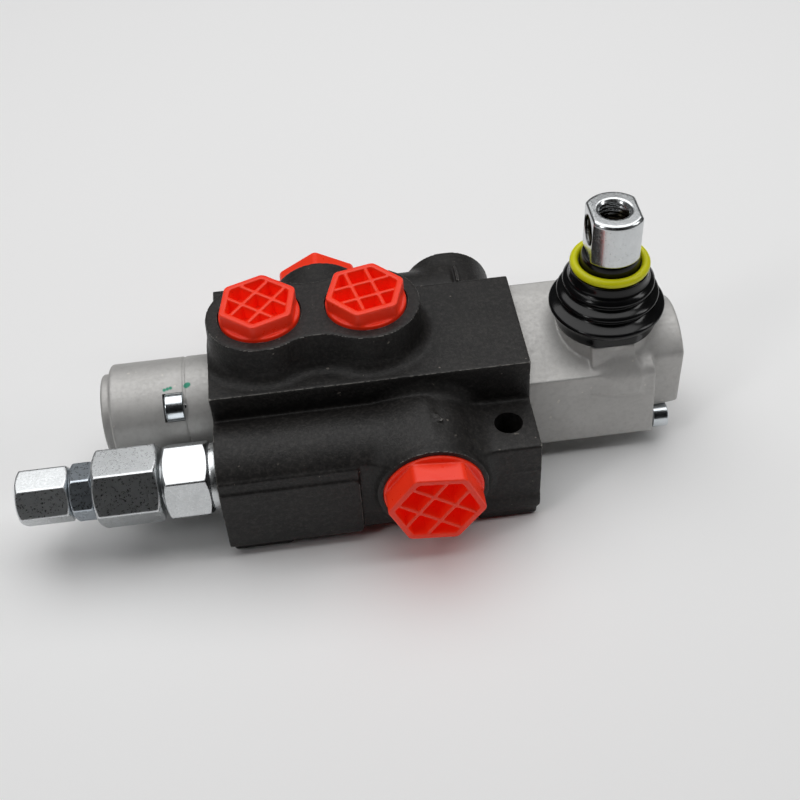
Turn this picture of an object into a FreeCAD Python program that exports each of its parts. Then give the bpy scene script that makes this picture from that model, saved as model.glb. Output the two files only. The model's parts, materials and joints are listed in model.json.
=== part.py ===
"""One-spool hydraulic monoblock valve, 40 l/min class, as an assembly of separate pieces.

Millimetres. X runs along the spool, from the relief valve and spring cap (-X) to the lever (+X).
The P port faces -Y, the T port faces +Y, the A and B ports and the lever point up, along +Z.
The origin is the middle of the footprint, on the plane that the mounting feet stand on.
"""

import FreeCAD
import Part
import math
import os
import re
import Sketcher

os.makedirs("parts", exist_ok=True)

doc = FreeCAD.newDocument("monoblock_valve")
sheet = doc.addObject("Spreadsheet::Sheet", "Sizes")

SIZES = [
    # cast body
    ("body_left", -45.5, "machined face on the spring side"),
    ("body_long", 100.0, "between the two machined end faces"),
    ("block_front", 22.2, "upper block, from the spool plane forward"),
    ("block_back", 20.6, "upper block, from the spool plane back"),
    ("block_top", 48.0, "top of the upper block above the feet"),
    ("under", 4.8, "underside between the feet"),
    ("spool_high", 24.8, "spool axis above the feet"),
    ("port_high", 23.6, "axis of P, T, N and the relief valve above the feet"),
    ("port_a", -27.35, "A port centre"),
    ("port_b", 6.07, "B port centre"),
    ("ab_radius", 16.9, "boss round A and round B"),
    ("ab_top", 61.0, "machined top of the A/B boss"),
    ("ab_waist", 12.6, "half width of the boss between A and B"),
    ("ab_waist_radius", 17.9, "concave radius of that waist"),
    ("ab_spot", 13.26, "spot face round A and B"),
    ("ab_thread", 7.6, "G3/8 minor radius"),
    ("port_p", 19.85, "P port centre"),
    ("port_t", -8.3, "T port centre"),
    ("port_n", 37.1, "N port centre, plugged"),
    ("pt_radius", 17.3, "boss round P and T"),
    ("n_radius", 15.6, "boss round N"),
    ("pt_mouth", 48.2, "P boss face from the spool plane"),
    ("tn_mouth", 47.2, "T and N boss faces from the spool plane"),
    ("pt_spot", 15.83, "spot face round P and T"),
    ("pt_thread", 9.3, "G1/2 minor radius"),
    ("gallery_y", 31.2, "gallery axes from the spool plane"),
    ("gallery_radius", 16.7, "outside of the cast galleries"),
    ("gallery_face", 44.5, "flat face of the galleries from the spool plane"),
    ("pad_long", 43.0, "machined pad on the front face"),
    ("pad_proud", 0.9, "pad above the cast face"),
    ("lug_top", 32.0, "top of the mounting lugs"),
    ("lug_deep", 43.0, "front of the front lug from the spool plane"),
    ("lug_wide", 19.8, "lug along X"),
    ("mount_radius", 4.5, "9 mm mounting holes"),
    ("mount_x", 45.9, "front hole"),
    ("mount_back_x", -36.9, "back hole"),
    ("mount_y", 31.6, "both holes from the spool plane"),
    ("foot_deep", 18.0, "feet along Y"),
    # spool and its bore
    ("spool_radius", 8.0, "spool lands"),
    ("bore_radius", 8.03, "spool bore"),
    ("seal_radius", 10.6, "seal recesses at both ends of the bore"),
    ("chamber_radius", 11.0, "annular chambers in the bore"),
    ("groove_radius", 5.8, "spool grooves"),
    ("spool_left", -47.5, "left end of the spool, in neutral"),
    ("spool_long", 106.0, "ground part of the spool"),
    ("tongue_long", 32.5, "tongue beyond the ground part"),
    ("tongue_wide", 12.4, "tongue along Y"),
    ("tongue_tall", 7.0, "tongue along Z"),
    ("ball_hole", 4.12, "cross hole for the lever ball"),
    # spring cap
    ("cap_radius", 16.5, "spring cap"),
    ("cap_long", 36.2, "spring cap, from the body face"),
    ("cap_step", 13.6, "small end of the spring cap"),
    ("cap_bore", 9.0, "bore for the centring spring"),
    ("cap_screw_off", 9.9, "cap screws, from the spool axis along Y and Z"),
    ("cap_screw_head", 4.85, "cap screw head radius"),
    ("cap_screw_shank", 2.3, "cap screw shank and its tapped hole"),
    ("coil_radius", 7.9, "centring spring, to the wire centre"),
    ("coil_wire", 0.8, "centring spring wire radius"),
    ("screw_head", 4.25, "M5 socket head radius"),
    # lever housing
    ("house_long", 43.3, "lever housing, from the body face"),
    ("house_half", 19.5, "half width"),
    ("house_down", 18.0, "below the spool axis"),
    ("house_up", 19.7, "above the spool axis, at the back"),
    ("house_shoulder", 10.7, "above the spool axis, at the front edge"),
    ("house_end", 52.0, "end boss, from the body face"),
    ("end_radius", 18.6, "end boss, its round top"),
    ("end_half", 15.0, "end boss, half width"),
    ("end_down", 10.5, "end boss, below the spool axis"),
    ("end_bore", 8.3, "bore in the end boss, round the spool tongue"),
    ("house_screw", 15.0, "housing screws, from the spool axis along Y and Z"),
    ("lever_x", 83.3, "lever axis"),
    ("neck_radius", 15.3, "neck under the boot"),
    ("neck_flat", 15.8, "flat pad on the front of the neck, from its axis"),
    ("pad_half", 7.0, "half width of that pad"),
    ("neck_step", 43.6, "shoulder that the boot sits on"),
    ("neck_seat", 13.2, "neck inside the boot"),
    ("neck_top", 53.5, "top of the neck"),
    ("pivot_high", 48.1, "centre of the lever ball"),
    # lever
    ("ball_radius", 8.0, "pivot ball"),
    ("tip_radius", 4.0, "ball in the spool tongue"),
    ("head_radius", 9.6, "lever head"),
    ("head_flats", 15.5, "across the two flats"),
    ("head_top", 86.2, "top of the lever head"),
    ("side_high", 79.3, "middle of the threaded hole in the flat"),
    ("side_deep", 5.5, "depth of that hole, which breaks into the upright one"),
    ("head_low", 70.4, "bottom of the lever head"),
    ("lever_thread", 4.25, "M10 minor radius"),
    ("ring_high", 66.2, "yellow ring, middle"),
    ("ring_radius", 11.2, "yellow ring, to the middle of its section"),
    ("ring_wire", 1.4, "yellow ring section radius"),
    # relief valve
    ("relief_hex", 22.0, "adapter across flats"),
    ("relief_body_hex", 22.0, "spring housing across flats"),
    ("lock_hex", 16.2, "lock nut across flats"),
    ("cap_hex", 16.0, "cap nut across flats"),
    # port plugs
    ("plug_ab_hex", 22.4, "plug head across flats, A and B"),
    ("plug_pt_hex", 26.8, "plug head across flats, P and T"),
    ("plug_ab_flange", 12.7, "flange radius, A and B"),
    ("plug_pt_flange", 15.6, "flange radius, P and T"),
    ("plug_wall", 2.0, "wall of the plug heads"),
    ("plug_rib", 1.25, "rib thickness"),
    ("spot_deep", 1.4, "spot face depth"),
]

for row, (alias, value, note) in enumerate(SIZES, start=1):
    sheet.set("A%d" % row, note)
    sheet.set("B%d" % row, str(value))
    sheet.setAlias("B%d" % row, alias)
doc.recompute()


def size(text):
    """The value of an expression in the sheet's words, as a number."""
    total = sheet.evalExpression(link(text))
    return float(getattr(total, "Value", total))


def link(text):
    """Point every word of an expression at its cell."""
    return re.sub(r"(?<![\w.])([a-z][a-z_]+)(?!\w*\()", r"Sizes.\1", str(text))


def bind(item, **values):
    for path, text in values.items():
        item.setExpression(path.replace("__", "."), link(text))


# Turns that lay a piece's own Z axis, or its own X axis, along a direction of the assembly.
Z_TO = {
    "+Z": FreeCAD.Rotation(),
    "-Z": FreeCAD.Rotation(FreeCAD.Vector(1, 0, 0), 180),
    "+X": FreeCAD.Rotation(FreeCAD.Vector(0, 1, 0), 90),
    "-X": FreeCAD.Rotation(FreeCAD.Vector(0, 1, 0), -90),
    "+Y": FreeCAD.Rotation(FreeCAD.Vector(1, 0, 0), -90),
    "-Y": FreeCAD.Rotation(FreeCAD.Vector(1, 0, 0), 90),
}
X_TO = {
    "+X": FreeCAD.Rotation(),
    "-X": FreeCAD.Rotation(FreeCAD.Vector(0, 0, 1), 180),
    "+Y": FreeCAD.Rotation(FreeCAD.Vector(0, 0, 1), 90),
    "-Y": FreeCAD.Rotation(FreeCAD.Vector(0, 0, 1), -90),
    "+Z": FreeCAD.Rotation(FreeCAD.Vector(0, 1, 0), -90),
    "-Z": FreeCAD.Rotation(FreeCAD.Vector(0, 1, 0), 90),
}


def put(item, at, turn=FreeCAD.Rotation()):
    item.Placement = FreeCAD.Placement(FreeCAD.Vector(), turn)
    for letter, text in zip("xyz", at):
        item.setExpression(".Placement.Base." + letter, link(text))
    return item


def box(name, at, long, deep, tall):
    item = doc.addObject("Part::Box", name)
    bind(item, Length=long, Width=deep, Height=tall)
    return put(item, at)


def rod(name, at, way, radius, long):
    item = doc.addObject("Part::Cylinder", name)
    bind(item, Radius=radius, Height=long)
    return put(item, at, Z_TO[way])


def taper(name, at, way, first, last, long):
    item = doc.addObject("Part::Cone", name)
    bind(item, Radius1=first, Radius2=last, Height=long)
    return put(item, at, Z_TO[way])


def ball(name, at, radius):
    item = doc.addObject("Part::Sphere", name)
    bind(item, Radius=radius)
    return put(item, at)


def hexagon(name, at, way, flats, long, turn=0.0):
    item = doc.addObject("Part::Prism", name)
    item.Polygon = 6
    bind(item, Circumradius="(%s) / 1.7320508" % flats, Height=long)
    own = FreeCAD.Rotation(FreeCAD.Vector(0, 0, 1), turn)
    return put(item, at, Z_TO[way].multiply(own))


def fuse(name, *pieces):
    item = doc.addObject("Part::MultiFuse", name)
    item.Shapes = list(pieces)
    item.Refine = True
    return item


def cut(name, base, *tools):
    item = doc.addObject("Part::Cut", name)
    item.Base = base
    item.Tool = tools[0] if len(tools) == 1 else fuse(name + "_tools", *tools)
    item.Refine = True
    return item


def common(name, first, second):
    item = doc.addObject("Part::Common", name)
    item.Base = first
    item.Tool = second
    return item


def outline(body, plane, corners):
    """A closed outline of straight sides, each corner held to its two sizes."""
    sketch = body.newObject("Sketcher::SketchObject", body.Name + "_outline")
    for face in body.Origin.OriginFeatures:
        if face.Role == plane:
            sketch.AttachmentSupport = [(face, "")]
    sketch.MapMode = "FlatFace"
    spots = [FreeCAD.Vector(size(a), size(b), 0) for a, b in corners]
    count = len(spots)
    for i in range(count):
        sketch.addGeometry(Part.LineSegment(spots[i], spots[(i + 1) % count]), False)
    for i in range(count):
        sketch.addConstraint(Sketcher.Constraint("Coincident", i, 2, (i + 1) % count, 1))
    for i, (a, b) in enumerate(corners):
        for kind, text, value, axis in (
            ("DistanceX", a, spots[i].x, -2),
            ("DistanceY", b, spots[i].y, -1),
        ):
            if abs(value) < 1e-9:
                sketch.addConstraint(Sketcher.Constraint("PointOnObject", i, 1, axis))
            else:
                k = sketch.addConstraint(Sketcher.Constraint(kind, -1, 1, i, 1, value))
                sketch.setExpression("Constraints[%d]" % k, link(text))
    return sketch


def lathe(name, at, way, corners):
    """A turned piece: corners are (distance along the axis, radius)."""
    body = doc.addObject("PartDesign::Body", name)
    sketch = outline(body, "XY_Plane", corners)
    turned = body.newObject("PartDesign::Revolution", name + "_turned")
    turned.Profile = sketch
    turned.ReferenceAxis = (sketch, ["H_Axis"])
    turned.Angle = 360.0
    sketch.Visibility = False
    return put(body, at, X_TO[way])


def plate(name, at, turn, corners, thick):
    """A padded outline."""
    body = doc.addObject("PartDesign::Body", name)
    sketch = outline(body, "XY_Plane", corners)
    pad = body.newObject("PartDesign::Pad", name + "_pad")
    pad.Profile = sketch
    pad.setExpression("Length", link(thick))
    sketch.Visibility = False
    return put(body, at, turn)


def coil(name, at, way, radius, wire, turns, free):
    """A round-wire compression spring, its free length measured over the wire."""
    spine = doc.addObject("Part::Helix", name + "_spine")
    bind(spine, Radius=radius, Height="(%s) - 2 * (%s)" % (free, wire))
    spine.setExpression("Pitch", link("((%s) - 2 * (%s)) / %s" % (free, wire, turns)))
    ring = doc.addObject("Part::Circle", name + "_ring")
    bind(ring, Radius=wire)
    ring.Placement.Rotation = FreeCAD.Rotation(FreeCAD.Vector(1, 0, 0), 90)
    ring.setExpression(".Placement.Base.x", link(radius))
    doc.recompute()
    item = doc.addObject("Part::Sweep", name)
    item.Sections = [ring]
    item.Spine = (spine, ["Edge1"])
    item.Solid = True
    item.Frenet = True
    item.Placement = FreeCAD.Placement()
    return put(item, at, Z_TO[way])


def bevelled_hex(name, at, way, flats, long, turn):
    """A hexagon with its corners turned off at 30 degrees at both ends."""
    blank = hexagon(name + "_blank", at, way, flats, long, turn)
    rim = "(%s) * 0.475" % flats
    wide = "(%s) * 0.6" % flats
    fall = "(%s) * 0.0722" % flats
    side = [
        ("0", "0"),
        ("0", rim),
        (fall, wide),
        ("(%s) - %s" % (long, fall), wide),
        (long, rim),
        (long, "0"),
    ]
    return common(name, blank, lathe(name + "_turning", at, way, side))


NODES = []


def keep(item, label):
    item.Label = label
    NODES.append(item)
    return item


# ---------------------------------------------------------------- cast body
LEFT = "body_left"
RIGHT = "body_left + body_long"

block = box("block", (LEFT, "-block_front", "under"), "body_long", "block_front + block_back",
            "block_top - under")
front_gallery = rod("front_gallery", (LEFT, "-gallery_y", "port_high"), "+X", "gallery_radius",
                    "port_p - body_left")
front_stop = box("front_stop", (LEFT, "-gallery_face", "under"), "port_p - body_left",
                 "gallery_face", "block_top - under")
front_round = common("front_round", front_gallery, front_stop)
front_wall = box("front_wall", (LEFT, "-gallery_face", "under"), "port_p - body_left",
                 "gallery_face", "port_high - under")
pad = box("pad", (LEFT, "-gallery_face - pad_proud", "6"), "pad_long", "5", "21.5")
back_gallery = rod("back_gallery", ("port_t", "gallery_y + 0.9", "port_high"), "+X",
                   "gallery_radius", "port_n - port_t")
back_stop = box("back_stop", ("port_t - 1", "0", "under"), "port_n - port_t + 2",
                "gallery_face", "block_top - under")
back_round = common("back_round", back_gallery, back_stop)
back_wall = box("back_wall", ("body_left + lug_wide - 1", "0", "under"),
                "port_n - body_left - lug_wide + 1", "gallery_y + 8", "port_high - under + 6")
p_boss = rod("p_boss", ("port_p", "-pt_mouth", "port_high"), "+Y", "pt_radius", "pt_mouth")
t_boss = rod("t_boss", ("port_t", "0", "port_high"), "+Y", "pt_radius", "tn_mouth")
n_boss = rod("n_boss", ("port_n", "0", "port_high"), "+Y", "n_radius", "tn_mouth")
front_lug = box("front_lug", (RIGHT + " - lug_wide", "-lug_deep", "under"), "lug_wide",
                "lug_deep", "lug_top - under")
back_lug = box("back_lug", (LEFT, "0", "under"), "lug_wide", "lug_deep + 5",
               "lug_top + 1 - under")
feet = []
for foot, foot_x, foot_y in (
    ("foot_front_left", "body_left + 2", "-lug_deep"),
    ("foot_front_right", "body_left + body_long - 19", "-lug_deep"),
    ("foot_back_left", "body_left + 2", "lug_deep - foot_deep"),
    ("foot_back_right", "body_left + body_long - 19", "block_back - foot_deep"),
):
    feet.append(box(foot, (foot_x, foot_y, "0"), "17", "foot_deep", "under + 1"))
a_boss = rod("a_boss", ("port_a", "0", "block_top - 1"), "+Z", "ab_radius", "ab_top - block_top + 1")
b_boss = rod("b_boss", ("port_b", "0", "block_top - 1"), "+Z", "ab_radius", "ab_top - block_top + 1")
# The waist between A and B: a six-sided web, hollowed front and back by a concave radius.
REACH = "(ab_radius / (ab_radius + ab_waist_radius))"
STEP = "((port_b - port_a) / 2 * %s)" % REACH
RISE = "((ab_waist + ab_waist_radius) * %s)" % REACH
web = plate("web", ("port_a", "-%s" % RISE, "block_top - 1"), FreeCAD.Rotation(), [
    ("0", RISE),
    (STEP, "0"),
    ("port_b - port_a - %s" % STEP, "0"),
    ("port_b - port_a", RISE),
    ("port_b - port_a - %s" % STEP, "2 * %s" % RISE),
    (STEP, "2 * %s" % RISE),
], "ab_top - block_top + 1")
MIDDLE = "(port_a + port_b) / 2"
waist_front = rod("waist_front", (MIDDLE, "-ab_waist - ab_waist_radius", "block_top - 2"), "+Z",
                  "ab_waist_radius", "ab_top - block_top + 3")
waist_back = rod("waist_back", (MIDDLE, "ab_waist + ab_waist_radius", "block_top - 2"), "+Z",
                 "ab_waist_radius", "ab_top - block_top + 3")
waist = cut("waist", web, waist_front, waist_back)
casting = fuse("casting", block, front_round, front_wall, pad, back_round, back_wall, p_boss,
               t_boss, n_boss, front_lug, back_lug, a_boss, b_boss, waist, *feet)

drills = [
    rod("spool_bore", (LEFT, "0", "spool_high"), "+X", "bore_radius", "body_long"),
    rod("seal_bore_left", (LEFT, "0", "spool_high"), "+X", "seal_radius", "7"),
    rod("seal_bore_right", (RIGHT, "0", "spool_high"), "-X", "seal_radius", "7"),
    rod("front_hole", ("mount_x", "-mount_y", "-1"), "+Z", "mount_radius", "lug_top + 4"),
    rod("back_hole", ("mount_back_x", "mount_y", "-1"), "+Z", "mount_radius", "lug_top + 4"),
    rod("a_spot", ("port_a", "0", "ab_top - spot_deep"), "+Z", "ab_spot", "3"),
    rod("b_spot", ("port_b", "0", "ab_top - spot_deep"), "+Z", "ab_spot", "3"),
    rod("a_thread", ("port_a", "0", "ab_top"), "-Z", "ab_thread", "16"),
    rod("b_thread", ("port_b", "0", "ab_top"), "-Z", "ab_thread", "16"),
    rod("a_drop", ("port_a", "0", "ab_top"), "-Z", "5", "ab_top - spool_high"),
    rod("b_drop", ("port_b", "0", "ab_top"), "-Z", "5", "ab_top - spool_high"),
    rod("p_spot", ("port_p", "-pt_mouth - 1", "port_high"), "+Y", "pt_spot", "spot_deep + 1"),
    rod("t_spot", ("port_t", "tn_mouth + 1", "port_high"), "-Y", "pt_spot", "spot_deep + 1"),
    rod("n_spot", ("port_n", "tn_mouth + 1", "port_high"), "-Y", "14.5", "1.6"),
    rod("p_thread", ("port_p", "-pt_mouth", "port_high"), "+Y", "pt_thread", "15"),
    rod("t_thread", ("port_t", "tn_mouth", "port_high"), "-Y", "pt_thread", "15"),
    rod("n_thread", ("port_n", "tn_mouth", "port_high"), "-Y", "pt_thread", "15"),
    rod("check_bore", ("port_p", "-pt_mouth", "port_high"), "+Y", "7", "pt_mouth - 13"),
    rod("check_outlet", ("port_p", "-14", "port_high"), "+Y", "3.2", "14"),
    rod("t_passage", ("port_t", "tn_mouth", "port_high"), "-Y", "5", "tn_mouth"),
    rod("n_passage", ("port_n", "tn_mouth", "port_high"), "-Y", "5", "tn_mouth"),
    rod("return_gallery", ("port_t", "gallery_y", "port_high"), "+X", "5", "port_n - port_t"),
    rod("return_left", ("-36", "19", "port_high"), "+X", "4", "port_t + 36"),
    rod("return_cross", ("-36", "0", "port_high"), "+Y", "3.5", "19"),
    rod("relief_cavity", (LEFT, "-gallery_y", "port_high"), "+X", "9.5", "24.5"),
    rod("pressure_gallery", (LEFT, "-gallery_y", "port_high"), "+X", "5", "port_p - body_left"),
    rod("relief_return", ("-36", "-gallery_y", "port_high"), "+Y", "3", "gallery_y"),
    rod("pressure_core", ("port_p", "0", "9.6"), "-X", "2.8", "port_p + 18"),
    rod("pressure_rise_right", ("port_p", "0", "9.6"), "+Z", "2.4", "6"),
    rod("pressure_rise_left", ("-18", "0", "9.6"), "+Z", "2.4", "6"),
]
CHAMBERS = ("-36", "port_a", "-18", "port_t", "port_b", "port_p", "port_n")
for number, centre in enumerate(CHAMBERS):
    drills.append(rod("chamber_%d" % number, ("%s - 2.5" % centre, "0", "spool_high"), "+X",
                      "chamber_radius", "5"))
for side, y_sign in (("front", -1), ("back", 1)):
    drills.append(rod("cap_tap_" + side, (LEFT, "%d * cap_screw_off" % y_sign,
                  "spool_high - %d * cap_screw_off" % y_sign), "+X", "cap_screw_shank", "11"))
    drills.append(rod("house_tap_" + side, (RIGHT, "%d * house_screw" % y_sign,
                  "spool_high + %d * house_screw" % y_sign), "-X", "2.5", "14"))
keep(cut("valve_body_cast", casting, *drills), "valve_body")

# ---------------------------------------------------------------- port plugs
def grid_plug(label, at, way, turn, flats, flange, shank, head):
    """A moulded transport plug: shank, flange and a hollow hexagon crossed by four ribs."""
    base = lathe(label + "_base", ("0", "0", "-9"), "+Z", [
        ("0", "0"),
        ("0", "(%s) - 0.9" % shank),
        ("1.2", shank),
        ("9 - spot_deep", shank),
        ("9 - spot_deep", flange),
        ("10.6 - spot_deep", flange),
        ("11.2 - spot_deep", "(%s) - 0.6" % flange),
        ("11.2 - spot_deep", "0"),
    ])
    prism = hexagon(label + "_head", ("0", "0", "1"), "+Z", flats, "(%s) - 1" % head, turn)
    pocket = hexagon(label + "_pocket", ("0", "0", "1 - spot_deep"), "+Z",
                     "(%s) - 2 * plug_wall" % flats, "(%s) + spot_deep" % head, turn)
    shell = cut(label + "_shell", fuse(label + "_solid", base, prism), pocket)
    bars = []
    for number, (across, offset) in enumerate(((0, -1), (0, 1), (1, -1), (1, 1))):
        bar = box("%s_bar_%d" % (label, number), ("0", "0", "0"), "(%s) * 1.1" % flats,
                  "plug_rib", "(%s) + spot_deep - 1.3" % head)
        angle = turn + 60 + 90 * across
        spin = FreeCAD.Rotation(FreeCAD.Vector(0, 0, 1), angle)
        c, d = math.cos(math.radians(angle)), math.sin(math.radians(angle))
        half = "(%s) * 0.55" % flats
        side = "(%d * (%s) * 0.155 - plug_rib / 2)" % (offset, flats)
        put(bar, (
            "%.6f * %s + %.6f * %s" % (-c, half, -d, side),
            "%.6f * %s + %.6f * %s" % (-d, half, c, side),
            "1 - spot_deep",
        ), spin)
        bars.append(bar)
    limit = hexagon(label + "_limit", ("0", "0", "-1"), "+Z", "(%s) - plug_wall" % flats,
                    "(%s) + 1" % head, turn)
    grid = common(label + "_grid", fuse(label + "_bars", *bars), limit)
    return keep(put(fuse(label + "_plug", shell, grid), at, Z_TO[way]), label)


grid_plug("port_plug_a", ("port_a", "0", "ab_top"), "+Z", 80.5, "plug_ab_hex", "plug_ab_flange",
          "ab_thread - 0.05", "5.5")
grid_plug("port_plug_b", ("port_b", "0", "ab_top"), "+Z", -47.2, "plug_ab_hex", "plug_ab_flange",
          "ab_thread - 0.05", "5.5")
grid_plug("port_plug_p", ("port_p", "-pt_mouth", "port_high"), "-Y", -6.0, "plug_pt_hex",
          "plug_pt_flange", "pt_thread - 0.05", "8")
grid_plug("port_plug_t", ("port_t", "tn_mouth", "port_high"), "+Y", 30.0, "plug_pt_hex",
          "plug_pt_flange", "pt_thread - 0.05", "9")

# The carry-over port is closed by a steel plug with a hexagon socket, on a sealing washer.
N_FACE = "tn_mouth - 0.6"
n_turned = lathe("n_plug_turned", ("port_n", N_FACE + " - 12", "port_high"), "+Y", [
    ("0", "0"),
    ("0", "pt_thread - 1"),
    ("1", "pt_thread - 0.05"),
    ("13.5", "pt_thread - 0.05"),
    ("13.5", "12.2"),
    ("15.5", "12.2"),
    ("16", "11.7"),
    ("16", "0"),
])
n_socket = hexagon("n_socket", ("port_n", N_FACE + " - 2", "port_high"), "+Y", "12", "8")
keep(cut("n_plug", n_turned, n_socket), "n_port_plug")
keep(lathe("n_seal", ("port_n", N_FACE, "port_high"), "+Y", [
    ("0", "pt_thread + 0.1"),
    ("0", "12"),
    ("1.5", "12"),
    ("1.5", "pt_thread + 0.1"),
]), "n_port_seal")

# ---------------------------------------------------------------- load check valve in the P port
keep(lathe("check_seat_ring", ("port_p", "-25", "port_high"), "+Y", [
    ("0", "4.2"),
    ("0", "7"),
    ("3.5", "7"),
    ("3.5", "4.4"),
    ("3.2", "4.2"),
]), "check_seat")
keep(lathe("check_cone", ("port_p", "-22.6", "port_high"), "+Y", [
    ("0", "0"),
    ("0", "2.9"),
    ("3.7", "6.6"),
    ("4.1", "6.94"),
    ("6.6", "6.94"),
    ("6.6", "4.8"),
    ("3.4", "4.8"),
    ("3.4", "0"),
]), "check_poppet")
keep(coil("check_coil", ("port_p", "-19.2 + 0.45", "port_high"), "+Y", "3.9", "0.45", "3", "6.15"),
     "check_spring")

# ---------------------------------------------------------------- relief valve
RV_Y = "-gallery_y"
RV_Z = "port_high"


def on_relief(distance):
    """A point on the relief valve's axis, this far out from the body face."""
    return ("body_left - (%s)" % distance, RV_Y, RV_Z)


keep(lathe("relief_ring", on_relief("0"), "-X", [
    ("0", "9.5"),
    ("0", "10.5"),
    ("2.5", "10.5"),
    ("2.5", "9.5"),
]), "relief_washer")
adapter_hex = bevelled_hex("adapter_hex", on_relief("2.5"), "-X", "relief_hex", "14.5", 12.0)
adapter_shank = lathe("adapter_shank", on_relief("-19.5"), "-X", [
    ("0", "0"),
    ("0", "7.2"),
    ("0.4", "7.6"),
    ("14", "7.6"),
    ("14", "9.5"),
    ("16", "9.5"),
    ("16", "7.9"),
    ("18", "7.9"),
    ("18", "9.5"),
    ("23", "9.5"),
    ("23", "0"),
])
adapter_bore = rod("adapter_bore", on_relief("-20"), "-X", "5.45", "40")
keep(cut("adapter", fuse("adapter_solid", adapter_hex, adapter_shank), adapter_bore),
     "relief_adapter")
o_ring = doc.addObject("Part::Torus", "o_ring")
bind(o_ring, Radius1="8.7", Radius2="0.78")
put(o_ring, on_relief("-2.5"), Z_TO["-X"])
keep(o_ring, "relief_o_ring")
keep(lathe("relief_seat_ring", on_relief("-24.5"), "-X", [
    ("0", "3"),
    ("0", "9.5"),
    ("3", "9.5"),
    ("3", "3.6"),
    ("2.4", "3"),
]), "relief_seat")
keep(lathe("relief_cone", on_relief("-22.3"), "-X", [
    ("0", "0"),
    ("0", "1.9"),
    ("3.2", "5.1"),
    ("3.6", "5.4"),
    ("14.8", "5.4"),
    ("14.8", "3.2"),
    ("17.3", "3.2"),
    ("17.3", "0"),
]), "relief_poppet")
keep(coil("relief_coil", on_relief("-7.4 + 0.7"), "-X", "4.45", "0.7", "11", "35.9"),
     "relief_spring")
keep(lathe("relief_button", on_relief("28.5"), "-X", [
    ("0", "0"),
    ("0", "5.2"),
    ("3", "5.2"),
    ("3", "0"),
]), "relief_spring_seat")
screw_rod = lathe("relief_screw_rod", on_relief("31.5"), "-X", [
    ("0", "0"),
    ("0", "3.3"),
    ("0.6", "3.9"),
    ("26.4", "3.9"),
    ("27", "3.3"),
    ("27", "0"),
])
screw_socket = hexagon("relief_screw_socket", on_relief("55"), "-X", "4", "4")
keep(cut("relief_screw", screw_rod, screw_socket), "relief_adjusting_screw")
tube_hex = bevelled_hex("tube_hex", on_relief("18"), "-X", "relief_body_hex", "20.5", 34.5)
tube_neck = rod("tube_neck", on_relief("17"), "-X", "7.6", "2")
tube_bore = rod("tube_bore", on_relief("16.5"), "-X", "5.6", "17")
tube_tap = rod("tube_tap", on_relief("30"), "-X", "3.95", "10")
keep(cut("relief_tube", fuse("tube_solid", tube_hex, tube_neck), tube_bore, tube_tap),
     "relief_housing")
lock_blank = bevelled_hex("lock_blank", on_relief("38.5"), "-X", "lock_hex", "7.5", 39.0)
keep(cut("lock_nut", lock_blank, rod("lock_bore", on_relief("38"), "-X", "3.95", "9")),
     "relief_lock_nut")
nut_blank = bevelled_hex("nut_blank", on_relief("46"), "-X", "cap_hex", "16.5", 31.0)
keep(cut("cap_nut", nut_blank, rod("nut_bore", on_relief("45"), "-X", "4.6", "14.4")),
     "relief_cap_nut")

# ---------------------------------------------------------------- spool
LANDS = (
    ("9.5", "groove_radius"), ("15.5", "spool_radius"), ("25", "groove_radius"),
    ("33.5", "spool_radius"), ("36.5", "groove_radius"), ("46.5", "spool_radius"),
    ("61", "groove_radius"), ("87.5", "spool_radius"),
)
profile = [("0", "0"), ("0", "spool_radius - 0.5"), ("0.5", "spool_radius")]
radius_now = "spool_radius"
for distance, radius_next in LANDS:
    profile.append((distance, radius_now))
    profile.append((distance, radius_next))
    radius_now = radius_next
profile += [("spool_long - 0.5", "spool_radius"), ("spool_long", "spool_radius - 0.5"),
            ("spool_long", "0")]
ground = lathe("spool_ground", ("spool_left", "0", "spool_high"), "+X", profile)
SPOOL_END = "spool_left + spool_long"
tongue = box("tongue", (SPOOL_END + " - 1", "-tongue_wide / 2", "spool_high - tongue_tall / 2"),
             "tongue_long + 1", "tongue_wide", "tongue_tall")
tongue_hole = rod("tongue_hole", ("lever_x", "0", "spool_high - 10"), "+Z", "ball_hole", "20")
bolt_hole = rod("bolt_hole", ("spool_left", "0", "spool_high"), "+X", "3.4", "16")
keep(cut("spool_whole", fuse("spool_solid", ground, tongue), tongue_hole, bolt_hole), "spool")
end_bolt = lathe("end_bolt", ("spool_left - 24.7", "0", "spool_high"), "+X", [
    ("0", "0"),
    ("0", "5.8"),
    ("0.4", "6.2"),
    ("3.2", "6.2"),
    ("3.2", "3.4"),
    ("40", "3.4"),
    ("40", "0"),
])
end_socket = hexagon("end_socket", ("spool_left - 25", "0", "spool_high"), "+X", "5", "2.8")
keep(cut("spool_bolt", end_bolt, end_socket), "spool_end_bolt")

for side, x_face, way in (("left", LEFT, "+X"), ("right", RIGHT, "-X")):
    keep(lathe("seal_" + side, (("body_left + 4.5") if side == "left" else
         (RIGHT + " - 4.5"), "0", "spool_high"), way, [
        ("0", "spool_radius + 0.02"),
        ("0", "seal_radius"),
        ("2.5", "seal_radius"),
        ("2.5", "spool_radius + 0.02"),
    ]), "spool_seal_" + side)
keep(lathe("stop_left", (LEFT + " - 2", "0", "spool_high"), "+X", [
    ("0", "spool_radius + 0.3"),
    ("0", "seal_radius"),
    ("6.5", "seal_radius"),
    ("6.5", "spool_radius + 0.3"),
]), "seal_ring_left")
keep(lathe("stop_right", (RIGHT, "0", "spool_high"), "-X", [
    ("0", "spool_radius + 0.3"),
    ("0", "seal_radius"),
    ("4.5", "seal_radius"),
    ("4.5", "spool_radius + 0.3"),
]), "seal_ring_right")

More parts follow.
